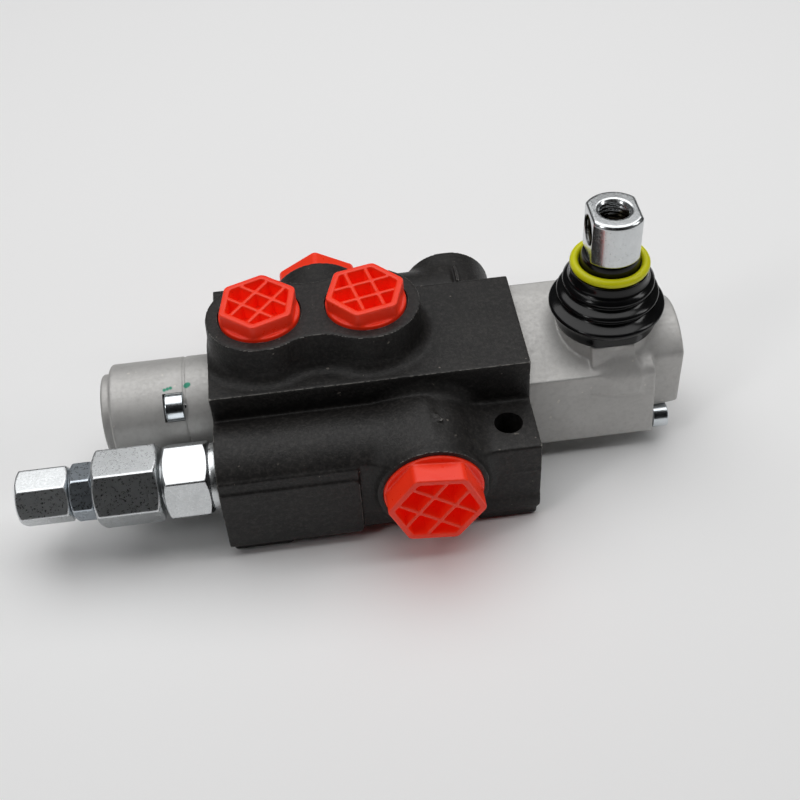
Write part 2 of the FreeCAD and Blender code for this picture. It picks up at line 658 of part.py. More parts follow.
# ---------------------------------------------------------------- spring cap and centring pack
for label, x_place in (("centring_washer_inner", "spool_left - 2"),
                       ("centring_washer_outer", "spool_left - 21.5")):
    keep(lathe(label + "_disc", (x_place, "0", "spool_high"), "+X", [
        ("0", "3.7"),
        ("0", "cap_bore - 0.2"),
        ("2", "cap_bore - 0.2"),
        ("2", "3.7"),
    ]), label)
keep(coil("centring_coil", ("spool_left - 2 - coil_wire", "0", "spool_high"), "-X", "coil_radius",
          "coil_wire", "5", "17.5"), "centring_spring")
cap_turned = lathe("cap_turned", (LEFT, "0", "spool_high"), "-X", [
    ("0", "seal_radius"),
    ("0", "cap_radius"),
    ("cap_long - 4.6", "cap_radius"),
    ("cap_long - 3.4", "cap_radius - 0.5"),
    ("cap_long - 2.9", "cap_radius - 1.7"),
    ("cap_long - 2.9", "cap_step"),
    ("cap_long - 0.8", "cap_step"),
    ("cap_long", "cap_step - 0.8"),
    ("cap_long", "0"),
    ("cap_long - 2.2", "0"),
    ("cap_long - 2.2", "7"),
    ("23.5", "7"),
    ("23.5", "cap_bore"),
    ("2", "cap_bore"),
    ("2", "seal_radius"),
])
cap_tools = []
cap_screws = []
for side, y_sign in (("front", -1), ("back", 1)):
    place = ("%d * cap_screw_off" % y_sign, "spool_high - %d * cap_screw_off" % y_sign)
    cap_tools.append(rod("cap_hole_" + side, (LEFT + " - 10",) + place, "+X",
                         "cap_screw_shank", "12"))
    cap_tools.append(rod("cap_pocket_" + side, (LEFT + " - 15.7",) + place, "+X",
                         "cap_screw_head + 0.1", "6.4"))
    head = lathe("cap_screw_head_" + side, (LEFT + " - 15.3",) + place, "+X", [
        ("0", "0"),
        ("0", "cap_screw_head - 0.5"),
        ("0.5", "cap_screw_head"),
        ("6", "cap_screw_head"),
        ("6", "cap_screw_shank"),
        ("26", "cap_screw_shank"),
        ("26", "0"),
    ])
    socket = hexagon("cap_screw_socket_" + side, (LEFT + " - 15.5",) + place, "+X", "5", "3.2")
    cap_screws.append(cut("cap_screw_" + side, head, socket))
keep(cut("cap_whole", cap_turned, *cap_tools), "spring_cap")
keep(fuse("cap_screw_pair", *cap_screws), "spring_cap_screws")

# ---------------------------------------------------------------- lever housing
# The housing's section across X: square below, its top falling 15 degrees towards the front.
SECTION_TURN = FreeCAD.Rotation(FreeCAD.Vector(1, 1, 1), 120)
section = plate("house_section", (RIGHT, "-house_half", "spool_high - house_down"), SECTION_TURN, [
    ("0", "0"),
    ("2 * house_half", "0"),
    ("2 * house_half", "house_down + house_up"),
    ("2 * house_half - 6", "house_down + house_up"),
    ("0", "house_down + house_shoulder"),
], "house_long")
boot_seat = rod("boot_seat", ("lever_x", "0", "neck_step"), "+Z", "neck_radius + 0.5", "5")
end_round = rod("end_round", (RIGHT, "0", "spool_high"), "+X", "end_radius", "house_end")
end_square = box("end_square", (RIGHT, "-end_half", "spool_high - end_down"), "house_end + 1",
                 "2 * end_half", "40")
end_boss = common("end_boss", end_round, end_square)
neck_round = rod("neck_round", ("lever_x", "0", "spool_high"), "+Z", "neck_radius",
                 "neck_step - spool_high")
neck_pad = box("neck_pad", ("lever_x - 0.7 - pad_half", "-neck_flat", "spool_high"),
               "2 * pad_half", "neck_flat", "neck_step - spool_high")
neck = fuse("neck", neck_round, neck_pad)
neck_up = rod("neck_up", ("lever_x", "0", "spool_high + 5"), "+Z", "neck_seat",
              "neck_top - spool_high - 5")
house_tools = [
    rod("house_cavity", (RIGHT, "0", "spool_high"), "+X", "12", "house_long - 1.5"),
    rod("end_cavity", (RIGHT, "0", "spool_high"), "+X", "end_bore", "house_end - 3"),
    rod("neck_bore", ("lever_x", "0", "spool_high"), "+Z", "8.6", "20"),
    rod("ball_bore", ("lever_x", "0", "40"), "+Z", "10.5", "20"),
]
house_screws = []
for side, y_sign in (("front", -1), ("back", 1)):
    place = ("%d * house_screw" % y_sign, "spool_high + %d * house_screw" % y_sign)
    house_tools.append(rod("house_hole_" + side, (RIGHT + " - 1",) + place, "+X", "2.5",
                           "house_long + 2"))
    house_tools.append(rod("house_relief_" + side, (RIGHT + " + house_long",) + place, "+X",
                           "screw_head + 0.3", "8"))
    head = lathe("house_screw_head_" + side, (RIGHT + " + house_long + 5",) + place, "-X", [
        ("0", "0"),
        ("0", "screw_head - 0.4"),
        ("0.4", "screw_head"),
        ("5", "screw_head"),
        ("5", "2.5"),
        ("house_long + 17", "2.5"),
        ("house_long + 17", "0"),
    ])
    socket = hexagon("house_screw_socket_" + side, (RIGHT + " + house_long + 5.2",) + place, "-X",
                     "4", "2.7")
    house_screws.append(cut("house_screw_" + side, head, socket))
house_low = cut("house_low", section, boot_seat)
keep(cut("house", fuse("house_solid", house_low, end_boss, neck, neck_up), *house_tools),
     "lever_housing")
keep(fuse("house_screw_pair", *house_screws), "lever_housing_screws")

# ---------------------------------------------------------------- lever and its ball joint
hollow_low = ball("hollow_low", ("lever_x", "0", "pivot_high"), "ball_radius + 0.06")
low_ring = lathe("low_ring", ("lever_x", "0", "40"), "+Z", [
    ("0", "7.2"),
    ("0", "10.5"),
    ("7.6", "10.5"),
    ("7.6", "5.4"),
    ("1.6", "5.4"),
])
keep(cut("ball_low", low_ring, hollow_low), "ball_seat")
hollow_high = ball("hollow_high", ("lever_x", "0", "pivot_high"), "ball_radius + 0.06")
high_ring = lathe("high_ring", ("lever_x", "0", "48.2"), "+Z", [
    ("0", "6.9"),
    ("0", "10.5"),
    ("5.2", "10.5"),
    ("5.2", "8.2"),
    ("3.4", "7"),
])
keep(cut("ball_high", high_ring, hollow_high), "ball_retainer")
stem_parts = [
    ball("tip", ("lever_x", "0", "spool_high"), "tip_radius"),
    rod("stem_low", ("lever_x", "0", "spool_high + 2"), "+Z", "2.8", "10"),
    taper("stem_taper", ("lever_x", "0", "spool_high + 11"), "+Z", "2.8", "3.3", "3"),
    rod("stem_mid", ("lever_x", "0", "spool_high + 14"), "+Z", "3.3", "6"),
    ball("pivot_ball", ("lever_x", "0", "pivot_high"), "ball_radius"),
    rod("stem_high", ("lever_x", "0", "pivot_high + 5"), "+Z", "5", "head_low - pivot_high - 5"),
    rod("stem_stud", ("lever_x", "0", "head_low - 1"), "+Z", "4", "4.2"),
]
keep(fuse("stem", *stem_parts), "lever_stem")
head_square = box("head_square", ("lever_x - head_flats / 2", "-12", "head_low - 1"), "head_flats",
                  "24", "head_top - head_low + 2")
head_turned = lathe("head_turned", ("lever_x", "0", "head_low"), "+Z", [
    ("0", "0"),
    ("0", "head_radius - 0.6"),
    ("0.6", "head_radius"),
    ("head_top - head_low - 0.5", "head_radius"),
    ("head_top - head_low", "head_radius - 0.5"),
    ("head_top - head_low", "0"),
])
head_tools = [
    rod("head_thread", ("lever_x", "0", "head_top"), "-Z", "lever_thread", "12"),
    taper("head_countersink", ("lever_x", "0", "head_top - 1.2"), "+Z", "lever_thread", "5.7",
          "1.4"),
    rod("side_thread", ("lever_x - head_flats / 2", "0", "side_high"), "+X", "lever_thread",
        "side_deep"),
    taper("side_countersink", ("lever_x - head_flats / 2 + 0.8", "0", "side_high"), "-X",
          "lever_thread", "5.25", "1"),
    rod("head_socket", ("lever_x", "0", "head_low"), "+Z", "4", "3.2"),
]
keep(cut("head_whole", common("head_solid", head_turned, head_square), *head_tools), "lever_head")

# ---------------------------------------------------------------- boot and ring
boot_low = "neck_step + 0.1"
BOOT = (
    ("0", "15.6"), ("2.6", "15.9"), ("4.2", "16.7"), ("5.4", "18.0"), ("6.2", "18.6"),
    ("7.2", "18.4"), ("8", "16.6"), ("8.9", "15.5"), ("9.9", "16.1"), ("10.9", "16.3"),
    ("11.6", "15.7"), ("12.6", "14.1"), ("13.6", "13.9"), ("14.6", "14.5"), ("15.4", "14.6"),
    ("16.2", "13.9"), ("17", "13.4"), ("20.5", "12.2"), ("21", "11.8"), ("21", "9.7"),
    ("22.5", "9.5"), ("24.5", "9.3"), ("26.5", "8.7"), ("26.5", "5.15"), ("25", "5.15"),
    ("22.5", "7.4"), ("19.5", "8.6"), ("16.2", "10.2"), ("14", "11.6"),
    ("10.6", "13.35"), ("0", "13.35"),
)
keep(lathe("boot_shell", ("lever_x", "0", boot_low), "+Z", BOOT), "boot")
ring = doc.addObject("Part::Torus", "ring")
bind(ring, Radius1="ring_radius", Radius2="ring_wire")
put(ring, ("lever_x", "0", "ring_high"))
keep(ring, "boot_ring")

# ---------------------------------------------------------------- check and write
doc.recompute()
for item in doc.Objects:
    for state in item.State:
        if state in ("Invalid", "Error"):
            raise RuntimeError("%s is %s" % (item.Label, state))
for item in NODES:
    shape = item.Shape
    if shape.isNull() or not shape.isValid() or not shape.Solids:
        raise RuntimeError("%s has no valid solid" % item.Label)
    shape.exportStep("parts/%s.step" % item.Label)
print(len(NODES), "nodes")
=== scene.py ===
import json
import math

import bmesh
import bpy
import numpy as np
from mathutils import Matrix, Vector


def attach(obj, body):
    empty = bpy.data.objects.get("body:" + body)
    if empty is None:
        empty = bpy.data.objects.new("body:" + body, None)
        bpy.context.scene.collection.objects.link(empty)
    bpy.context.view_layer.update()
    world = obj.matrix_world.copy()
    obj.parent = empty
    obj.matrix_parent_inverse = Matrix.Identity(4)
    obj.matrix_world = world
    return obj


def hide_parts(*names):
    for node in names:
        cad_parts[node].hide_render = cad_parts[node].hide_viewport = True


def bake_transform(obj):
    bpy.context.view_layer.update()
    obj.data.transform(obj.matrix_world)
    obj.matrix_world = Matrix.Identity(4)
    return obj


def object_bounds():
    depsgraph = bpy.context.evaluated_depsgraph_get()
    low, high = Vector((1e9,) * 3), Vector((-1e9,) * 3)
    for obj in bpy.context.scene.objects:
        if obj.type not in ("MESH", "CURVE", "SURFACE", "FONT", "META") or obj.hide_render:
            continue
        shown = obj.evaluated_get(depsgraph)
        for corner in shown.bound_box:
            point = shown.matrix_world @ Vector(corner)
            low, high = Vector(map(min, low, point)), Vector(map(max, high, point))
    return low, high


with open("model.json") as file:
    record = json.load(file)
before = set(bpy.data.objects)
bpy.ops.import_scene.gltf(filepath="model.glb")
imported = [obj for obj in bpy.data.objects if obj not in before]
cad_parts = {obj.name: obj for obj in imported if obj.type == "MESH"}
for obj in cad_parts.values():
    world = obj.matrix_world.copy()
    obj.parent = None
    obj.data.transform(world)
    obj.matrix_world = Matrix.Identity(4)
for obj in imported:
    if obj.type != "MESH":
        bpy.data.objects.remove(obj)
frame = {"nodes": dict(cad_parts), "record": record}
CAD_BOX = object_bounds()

# Hydraulic monoblock valve. Lengths below are in millimetres, in the frame's own axes:
# X along the spool towards the lever, Y to the back, Z up from the feet.
NODES = frame["nodes"]
SLOTS = {part["node"]: part["material_slot"] for part in frame["record"]["subparts"]}
MM = 0.001
COARSE = 0.5
FINE = 0.28

# Places that the CAD model also has.
LEFT, RIGHT = -45.5, 54.5  # end faces of the body
FRONT, BACK, TOP, UNDER = -22.2, 20.6, 48.0, 4.8  # its block
SPOOL_Z, PORT_Z, GALLERY = 24.8, 23.6, 31.2
PORT_A, PORT_B, AB_TOP = -27.35, 6.07, 61.0
PORT_P, PORT_T, PORT_N = 19.85, -8.3, 37.1
P_MOUTH, TN_MOUTH = 48.2, 47.2
AB_SPOT, PT_SPOT, N_SPOT, SPOT_DEEP = 13.26, 15.83, 14.5, 1.4  # spot faces, radius and depth
AB_THREAD, PT_THREAD = 8.0, 9.6  # radius of the ports' bores
PT_BOSS, N_BOSS = 17.3, 15.6
MOUNT_HOLES, MOUNT_RADIUS = ((45.9, -31.6), (-36.9, 31.6)), 4.5
HOUSE_END, BOSS_END = 97.8, 106.5
HOUSE_HALF, HOUSE_LOW, HOUSE_HIGH = 19.5, 6.8, 53.5
LEVER_X, NECK_STEP = 83.3, 43.6
HEAD_LOW, HEAD_TOP, SIDE_HIGH, HEAD_FLATS, HEAD_RADIUS = 70.4, 86.2, 79.3, 15.5, 9.6
CAP_END, CAP_RADIUS = -81.7, 16.5
CAP_SCREWS = ((-9.9, 34.7), (9.9, 14.9))
HOUSE_SCREWS = ((-15.0, 9.8), (15.0, 39.8))
RELIEF = (-GALLERY, PORT_Z)
SQRT_HALF = 0.7071  # slope of a 45 degree chamfer


# ------------------------------------------------------------------ rounded solids on a grid
class Grid:
    """Distances to a solid, negative inside, on a regular grid, made into a closed mesh."""

    def __init__(self, low, high, step):
        self.step = step
        self.low = np.array(low, float) - 2.5 * step
        count = np.ceil((np.array(high, float) + 2.5 * step - self.low) / step).astype(int) + 1
        axes = [(self.low[i] + step * np.arange(count[i])).astype(np.float32) for i in range(3)]
        self.x = axes[0][:, None, None]
        self.y = axes[1][None, :, None]
        self.z = axes[2][None, None, :]

    def across(self, axis, centre):
        """The two coordinates across an axis, from a centre line."""
        values = [self.x, self.y, self.z]
        values.pop(axis)
        return values[0] - centre[0], values[1] - centre[1]

    def box(self, lows, highs, round_by=0.0):
        gaps = []
        for value, low, high in zip((self.x, self.y, self.z), lows, highs):
            gaps.append(np.abs(value - (low + high) / 2) - ((high - low) / 2 - round_by))
        outside = np.sqrt(sum(np.maximum(g, 0) ** 2 for g in gaps))
        inside = np.minimum(np.maximum(np.maximum(gaps[0], gaps[1]), gaps[2]), 0)
        return outside + inside - round_by

    def slab(self, axis, low, high):
        value = (self.x, self.y, self.z)[axis]
        return np.abs(value - (low + high) / 2) - (high - low) / 2

    def rod(self, axis, centre, radius, start, end, round_by=0.0):
        u, v = self.across(axis, centre)
        gap_a = np.sqrt(u * u + v * v) - (radius - round_by)
        gap_b = self.slab(axis, start, end) + round_by
        outside = np.sqrt(np.maximum(gap_a, 0) ** 2 + np.maximum(gap_b, 0) ** 2)
        return outside + np.minimum(np.maximum(gap_a, gap_b), 0) - round_by

    def hexagon(self, axis, centre, flats, turn, round_by=0.3):
        """An endless hexagonal bar; turn is the angle of one corner."""
        u, v = self.across(axis, centre)
        solid = None
        for n in range(3):
            angle = turn + math.radians(30 + 60 * n)
            pair = np.abs(math.cos(angle) * u + math.sin(angle) * v) - flats / 2
            solid = pair if solid is None else meet_round(solid, pair, round_by)
        return solid

    def mesh(self, name, values):
        """Surface nets: a point in each cell that the surface crosses, then a light smoothing."""
        values = np.ascontiguousarray(np.broadcast_to(
            values, (self.x.size, self.y.size, self.z.size)), dtype=np.float32)
        inside = values < 0
        shape = np.array(values.shape) - 1
        count = np.zeros(shape, np.int8)
        corners = [(i, j, k) for i in (0, 1) for j in (0, 1) for k in (0, 1)]
        for i, j, k in corners:
            count += inside[i:i + shape[0], j:j + shape[1], k:k + shape[2]]
        cells = np.argwhere((count > 0) & (count < 8))
        at = [values[cells[:, 0] + i, cells[:, 1] + j, cells[:, 2] + k] for i, j, k in corners]
        total = np.zeros((len(cells), 3))
        number = np.zeros(len(cells))
        for a in range(8):
            for axis in range(3):
                if corners[a][axis]:
                    continue
                other = list(corners[a])
                other[axis] = 1
                b = corners.index(tuple(other))
                crossed = (at[a] < 0) != (at[b] < 0)
                with np.errstate(divide="ignore", invalid="ignore"):
                    part = np.where(crossed, at[a] / (at[a] - at[b]), 0)
                for n in range(3):
                    total[:, n] += np.where(crossed, part if n == axis else corners[a][n], 0)
                number += crossed
        points = self.low + self.step * (cells + total / number[:, None])
        index = np.full(shape, -1, np.int32)
        index[cells[:, 0], cells[:, 1], cells[:, 2]] = np.arange(len(cells))
        quads = []
        for axis in range(3):
            u, v = [n for n in range(3) if n != axis]
            here, there = [slice(None)] * 3, [slice(None)] * 3
            here[axis], there[axis] = slice(0, -1), slice(1, None)
            spots = np.argwhere(inside[tuple(here)] != inside[tuple(there)])
            ring = []
            for du, dv in ((0, 0), (-1, 0), (-1, -1), (0, -1)):
                move = np.zeros(3, int)
                move[u], move[v] = du, dv
                q = spots + move
                ring.append(index[q[:, 0], q[:, 1], q[:, 2]])
            quad = np.stack(ring, 1)
            flip = inside[spots[:, 0], spots[:, 1], spots[:, 2]]
            if axis == 1:
                flip = ~flip
            quad[flip] = quad[flip][:, ::-1]
            quads.append(quad)
        faces = np.concatenate(quads)[:, ::-1]
        for _ in range(2):
            points = relax(points, faces)
        # Smoothing can carry a point a few microns past the CAD box, so points stop at it.
        return mesh_object(name, np.clip(points * MM, *CAD_BOX), faces)


def relax(points, faces):
    """One light smoothing, then one that gives the lost volume back."""
    for strength in (0.5, -0.52):
        total = np.zeros_like(points)
        number = np.zeros(len(points))
        for a in range(4):
            for b in ((a + 1) % 4, (a + 3) % 4):
                for n in range(3):
                    total[:, n] += np.bincount(faces[:, a], points[faces[:, b], n], len(points))
                number += np.bincount(faces[:, a], minlength=len(points))
        points = points + strength * (total / number[:, None] - points)
    return points


def join_round(a, b, radius):
    """Union with a fillet of this radius where the two meet."""
    both = np.sqrt(np.maximum(radius - a, 0) ** 2 + np.maximum(radius - b, 0) ** 2)
    return np.maximum(radius, np.minimum(a, b)) - both


def meet_round(a, b, radius):
    """Overlap with its edge rounded to this radius."""
    return -join_round(-a, -b, radius)


# ------------------------------------------------------------------ meshes
def mesh_object(name, points, faces):
    mesh = bpy.data.meshes.new(name)
    mesh.from_pydata(np.asarray(points).tolist(), [], np.asarray(faces).tolist())
    mesh.validate()
    item = bpy.data.objects.new(name, mesh)
    bpy.context.scene.collection.objects.link(item)
    return item


def lathe(name, profile, axis="Z", origin=(0, 0, 0), steps=96, closed=True):
    """Turns (distance, radius) pairs round an axis that starts at origin."""
    profile = np.array(profile, float)
    turn = np.linspace(0, 2 * math.pi, steps, endpoint=False)
    along = np.repeat(profile[:, 0][:, None], steps, 1)
    c = profile[:, 1][:, None] * np.cos(turn)[None, :]
    s = profile[:, 1][:, None] * np.sin(turn)[None, :]
    order = {"Z": (c, s, along), "-Z": (c, -s, -along), "X": (along, c, s),
             "-X": (-along, c, -s), "Y": (s, along, c), "-Y": (-s, -along, c)}[axis]
    points = np.stack(order, -1).reshape(-1, 3) + np.array(origin, float)
    faces = []
    for i in range(len(profile) if closed else len(profile) - 1):
        here, there = i * steps, ((i + 1) % len(profile)) * steps
        for j in range(steps):
            k = (j + 1) % steps
            faces.append((here + j, here + k, there + k, there + j))
    item = mesh_object(name, points * MM, faces)
    b = bmesh.new()
    b.from_mesh(item.data)
    bmesh.ops.remove_doubles(b, verts=b.verts, dist=1e-6)
    bmesh.ops.recalc_face_normals(b, faces=b.faces)
    b.to_mesh(item.data)
    b.free()
    return item


def drill(axis, origin, radius, length, steps=72):
    """A plain round cutter."""
    return lathe("cutter", [(0, 0), (0, radius), (length, radius), (length, 0)], axis, origin,
                 steps, closed=False)


def carve(item, cutters):
    """Cuts crisp machined holes and faces."""
    for cutter in cutters:
        tool = item.modifiers.new("cut", "BOOLEAN")
        tool.operation = "DIFFERENCE"
        tool.object = cutter
        tool.solver = "MANIFOLD"
    bpy.context.view_layer.update()
    graph = bpy.context.evaluated_depsgraph_get()
    mesh = bpy.data.meshes.new_from_object(item.evaluated_get(graph))
    item.modifiers.clear()
    item.data = mesh
    for cutter in cutters:
        bpy.data.objects.remove(cutter)


def finish_mesh(item, angle=35):
    """Smooth shading, and an attribute that is high on outer edges, where the finish wears and
    where painted highlights are laid.
    """
    mesh = item.data
    mesh.shade_smooth()
    mesh.set_sharp_from_angle(angle=math.radians(angle))
    count = len(mesh.vertices)
    points = np.empty(count * 3)
    mesh.vertices.foreach_get("co", points)
    points = points.reshape(-1, 3)
    normals = np.empty(count * 3)
    mesh.vertices.foreach_get("normal", normals)
    normals = normals.reshape(-1, 3)
    edges = np.empty(len(mesh.edges) * 2, int)
    mesh.edges.foreach_get("vertices", edges)
    edges = edges.reshape(-1, 2)
    bend = np.zeros(count)
    number = np.zeros(count)
    for a, b in ((0, 1), (1, 0)):
        way = points[edges[:, b]] - points[edges[:, a]]
        way /= np.linalg.norm(way, axis=1)[:, None] + 1e-9
        fall = -(normals[edges[:, a]] * way).sum(1)
        bend += np.bincount(edges[:, a], fall, count)
        number += np.bincount(edges[:, a], minlength=count)
    bend /= np.maximum(number, 1)
    attribute = mesh.attributes.new("edge", "FLOAT", "POINT")
    attribute.data.foreach_set("value", bend.astype(np.float32))


# ------------------------------------------------------------------ materials
class Paint:
    """A node material, built up from noise, edges and bumps in object space."""

    def __init__(self, name, **sockets):
        self.material = bpy.data.materials.new(name)
        self.material.use_nodes = True
        self.tree = self.material.node_tree
        self.shader = self.tree.nodes["Principled BSDF"]
        for key, value in sockets.items():
            self.shader.inputs[key.replace("_", " ")].default_value = value
        self.where = self.node("ShaderNodeTexCoord").outputs["Object"]

    def node(self, kind, links=None, **values):
        item = self.tree.nodes.new(kind)
        for key, value in values.items():
            if hasattr(item, key):
                setattr(item, key, value)
            else:
                item.inputs[key.replace("_", " ")].default_value = value
        for key, source in (links or {}).items():
            self.tree.links.new(source, item.inputs[key])
        return item

    def noise(self, scale, detail=3.0, roughness=0.5, stretch=None):
        where = self.where
        if stretch:
            where = self.node("ShaderNodeMapping", {"Vector": where}, Scale=stretch).outputs[0]
        return self.node("ShaderNodeTexNoise", {"Vector": where}, Scale=scale, Detail=detail,
                         Roughness=roughness).outputs["Fac"]

    def ramp(self, source, low, high, start=0.0, end=1.0):
        """Goes from start to end as source goes from low to high, and no further."""
        item = self.node("ShaderNodeMapRange", {"Value": source})
        for key, value in (("From Min", low), ("From Max", high), ("To Min", start),
                           ("To Max", end)):
            item.inputs[key].default_value = value
        return item.outputs[0]

    def maths(self, kind, a, b):
        item = self.node("ShaderNodeMath", operation=kind)
        for n, value in enumerate((a, b)):
            if isinstance(value, (int, float)):
                item.inputs[n].default_value = value
            else:
                self.tree.links.new(value, item.inputs[n])
        return item.outputs[0]

    def mix(self, factor, a, b):
        item = self.node("ShaderNodeMix", data_type="RGBA")
        self.tree.links.new(factor, item.inputs[0])
        for n, value in ((6, a), (7, b)):
            if isinstance(value, tuple):
                item.inputs[n].default_value = (*value, 1.0)
            else:
                self.tree.links.new(value, item.inputs[n])
        return item.outputs[2]

    def edge(self, low, high):
        """Near 1 on outer edges, from the mesh's own attribute."""
        item = self.node("ShaderNodeAttribute", attribute_name="edge")
        return self.ramp(item.outputs["Fac"], low, high)

    def ball(self, centre, radius, soft=0.4):
        """Near 1 inside a ball, with a soft rim."""
        item = self.node("ShaderNodeVectorMath", {0: self.where}, operation="DISTANCE")
        item.inputs[1].default_value = [v * MM for v in centre]
        rim = self.maths("ADD", item.outputs["Value"], self.maths(
            "MULTIPLY", self.noise(500, 3), radius * 0.9 * MM))
        return self.ramp(rim, (1.45 * radius + soft) * MM, 1.45 * radius * MM)

    def bore(self, centre, across, radius):
        """Near 1 inside a bore through centre; across is 0 along its axis and 1 across it."""
        away = self.node("ShaderNodeVectorMath", {0: self.where}, operation="SUBTRACT")
        away.inputs[1].default_value = [v * MM for v in centre]
        flat = self.node("ShaderNodeVectorMath", {0: away.outputs[0]}, operation="MULTIPLY")
        flat.inputs[1].default_value = across
        gap = self.node("ShaderNodeVectorMath", {0: flat.outputs[0]}, operation="LENGTH")
        return self.ramp(gap.outputs["Value"], (radius + 0.15) * MM, (radius - 0.15) * MM)

    def height(self, low, high):
        """0 above the upper height and 1 below the lower one, in mm."""
        split = self.node("ShaderNodeSeparateXYZ", {0: self.where})
        return self.ramp(split.outputs[2], high * MM, low * MM)

    def bump(self, *layers):
        """Layers are (height, strength, distance in mm), finest last."""
        normal = None
        for height, strength, distance in layers:
            links = {"Height": height}
            if normal is not None:
                links["Normal"] = normal
            normal = self.node("ShaderNodeBump", links, Strength=strength,
                               Distance=distance * MM).outputs[0]
        self.tree.links.new(normal, self.shader.inputs["Normal"])

    def colour(self, source):
        self.tree.links.new(source, self.shader.inputs["Base Color"])

    def rough(self, source):
        self.tree.links.new(source, self.shader.inputs["Roughness"])


def cast_iron():
    p = Paint("cast_iron_black", Metallic=0.0, Specular_IOR_Level=0.3)
    cloud = p.noise(60, 4, 0.6)
    fine = p.noise(1100, 2, 0.6)
    base = p.mix(p.ramp(cloud, 0.35, 0.65), (0.0085, 0.0078, 0.0075), (0.0140, 0.0130, 0.0122))
    grain = p.ramp(p.noise(800, 2, 0.7), 0.46, 0.66, 0.0, 0.6)
    base = p.mix(grain, base, (0.034, 0.031, 0.029))
    speck = p.ramp(p.noise(480, 1, 0.4), 0.765, 0.80, 0.0, 0.8)
    base = p.mix(speck, base, (0.17, 0.15, 0.13))
    patchy = p.ramp(p.noise(420, 4, 0.7), 0.42, 0.58)
    # Paint stays on inside the mounting holes.
    holes = p.maths("ADD", *(p.bore((*place, 0), (1, 1, 0), MOUNT_RADIUS + 0.2)
                             for place in MOUNT_HOLES))
    outside = p.ramp(holes, 0.0, 1.0, 1.0, 0.0)
    # Lighter edges: paint rubbed through, and a painted highlight along the rims and edges.
    rubbed_and_lit_edges = p.maths("MULTIPLY", p.maths("MULTIPLY", p.edge(0.14, 0.25), outside), patchy)
    p.colour(p.mix(rubbed_and_lit_edges, base, (0.27, 0.26, 0.24)))
    p.rough(p.ramp(fine, 0.3, 0.7, 0.40, 0.56))
    p.bump((cloud, 0.2, 0.4), (p.noise(420, 3, 0.65), 0.4, 0.2),
           (p.noise(1700, 3, 0.7), 0.8, 0.12))
    return p.material


def aluminium(dab=None):
    p = Paint("cast_aluminium" + ("_marked" if dab else ""), Metallic=0.55)
    cloud = p.noise(45, 4, 0.6)
    fine = p.noise(850, 3, 0.65)
    base = p.mix(p.ramp(cloud, 0.35, 0.65), (0.50, 0.492, 0.478), (0.56, 0.552, 0.538))
    grain = p.ramp(p.noise(600, 2, 0.6), 0.45, 0.75, 0.0, 0.3)
    base = p.mix(grain, base, (0.37, 0.364, 0.355))
    speck = p.ramp(p.noise(430, 1, 0.4), 0.755, 0.79)
    base = p.mix(speck, base, (0.62, 0.60, 0.56))
    scratch = p.ramp(p.noise(110, 2, 0.5, stretch=(0.3, 7.0, 7.0)), 0.71, 0.75, 0.0, 0.5)
    base = p.mix(scratch, base, (0.56, 0.55, 0.53))
    # Lighter edges: rubbed metal, and a painted highlight along them.
    base = p.mix(p.edge(0.12, 0.26), base, (0.66, 0.65, 0.63))
    if dab:
        for centre, radius in dab:
            base = p.mix(p.ball(centre, radius), base, (0.05, 0.30, 0.20))
    p.colour(base)
    p.rough(p.ramp(fine, 0.3, 0.7, 0.5, 0.66))
    p.bump((cloud, 0.2, 0.35), (p.noise(300, 3, 0.6), 0.3, 0.12), (fine, 0.4, 0.05))
    return p.material


def zinc(name, tone=(0.68, 0.70, 0.71), roughness=0.3, painted_hole_shade=False):
    """Bright zinc plate; with the flag set, painted shade darkens the tapped holes of the lever
    head.
    """
    p = Paint(name, Metallic=1.0)
    cloud = p.noise(110, 3, 0.6)
    sparkle = p.noise(1300, 2, 0.7)
    base = p.mix(p.ramp(cloud, 0.35, 0.7), tone, tuple(0.88 * v for v in tone))
    base = p.mix(p.ramp(sparkle, 0.5, 0.7, 0.0, 0.2), base, tuple(0.62 * v for v in tone))
    # Lighter edges are a painted highlight on the rounded edges.
    base = p.mix(p.edge(0.08, 0.22), base, (0.84, 0.86, 0.87))
    if painted_hole_shade:
        # Painted shade in the tapped holes: the top hole darkens from 2 mm to 6.5 mm down, the side
        # hole all along its bore.
        deep = p.maths("MULTIPLY", p.bore((LEVER_X, 0, HEAD_TOP), (1, 1, 0), 4.95),
                       p.height(HEAD_TOP - 6.5, HEAD_TOP - 2.0))
        base = p.mix(deep, base, (0.03, 0.027, 0.025))
        deep = p.bore((LEVER_X, 0, SIDE_HIGH), (0, 1, 1), 4.85)
        base = p.mix(deep, base, (0.03, 0.026, 0.018))
    p.colour(base)
    p.rough(p.ramp(sparkle, 0.3, 0.7, roughness * 0.8, roughness * 1.3))
    p.bump((p.noise(170, 2, 0.5), 0.1, 0.1), (p.noise(1500, 3, 0.7), 0.28, 0.03))
    return p.material


def steel(name, tone, roughness):
    p = Paint(name, Metallic=1.0)
    grind = p.noise(300, 3, 0.6, stretch=(6.0, 0.5, 0.5))
    p.colour(p.mix(p.ramp(grind, 0.3, 0.7), tone, tuple(0.8 * v for v in tone)))
    p.rough(p.ramp(grind, 0.3, 0.7, roughness * 0.8, roughness * 1.3))
    p.bump((grind, 0.15, 0.02))
    return p.material


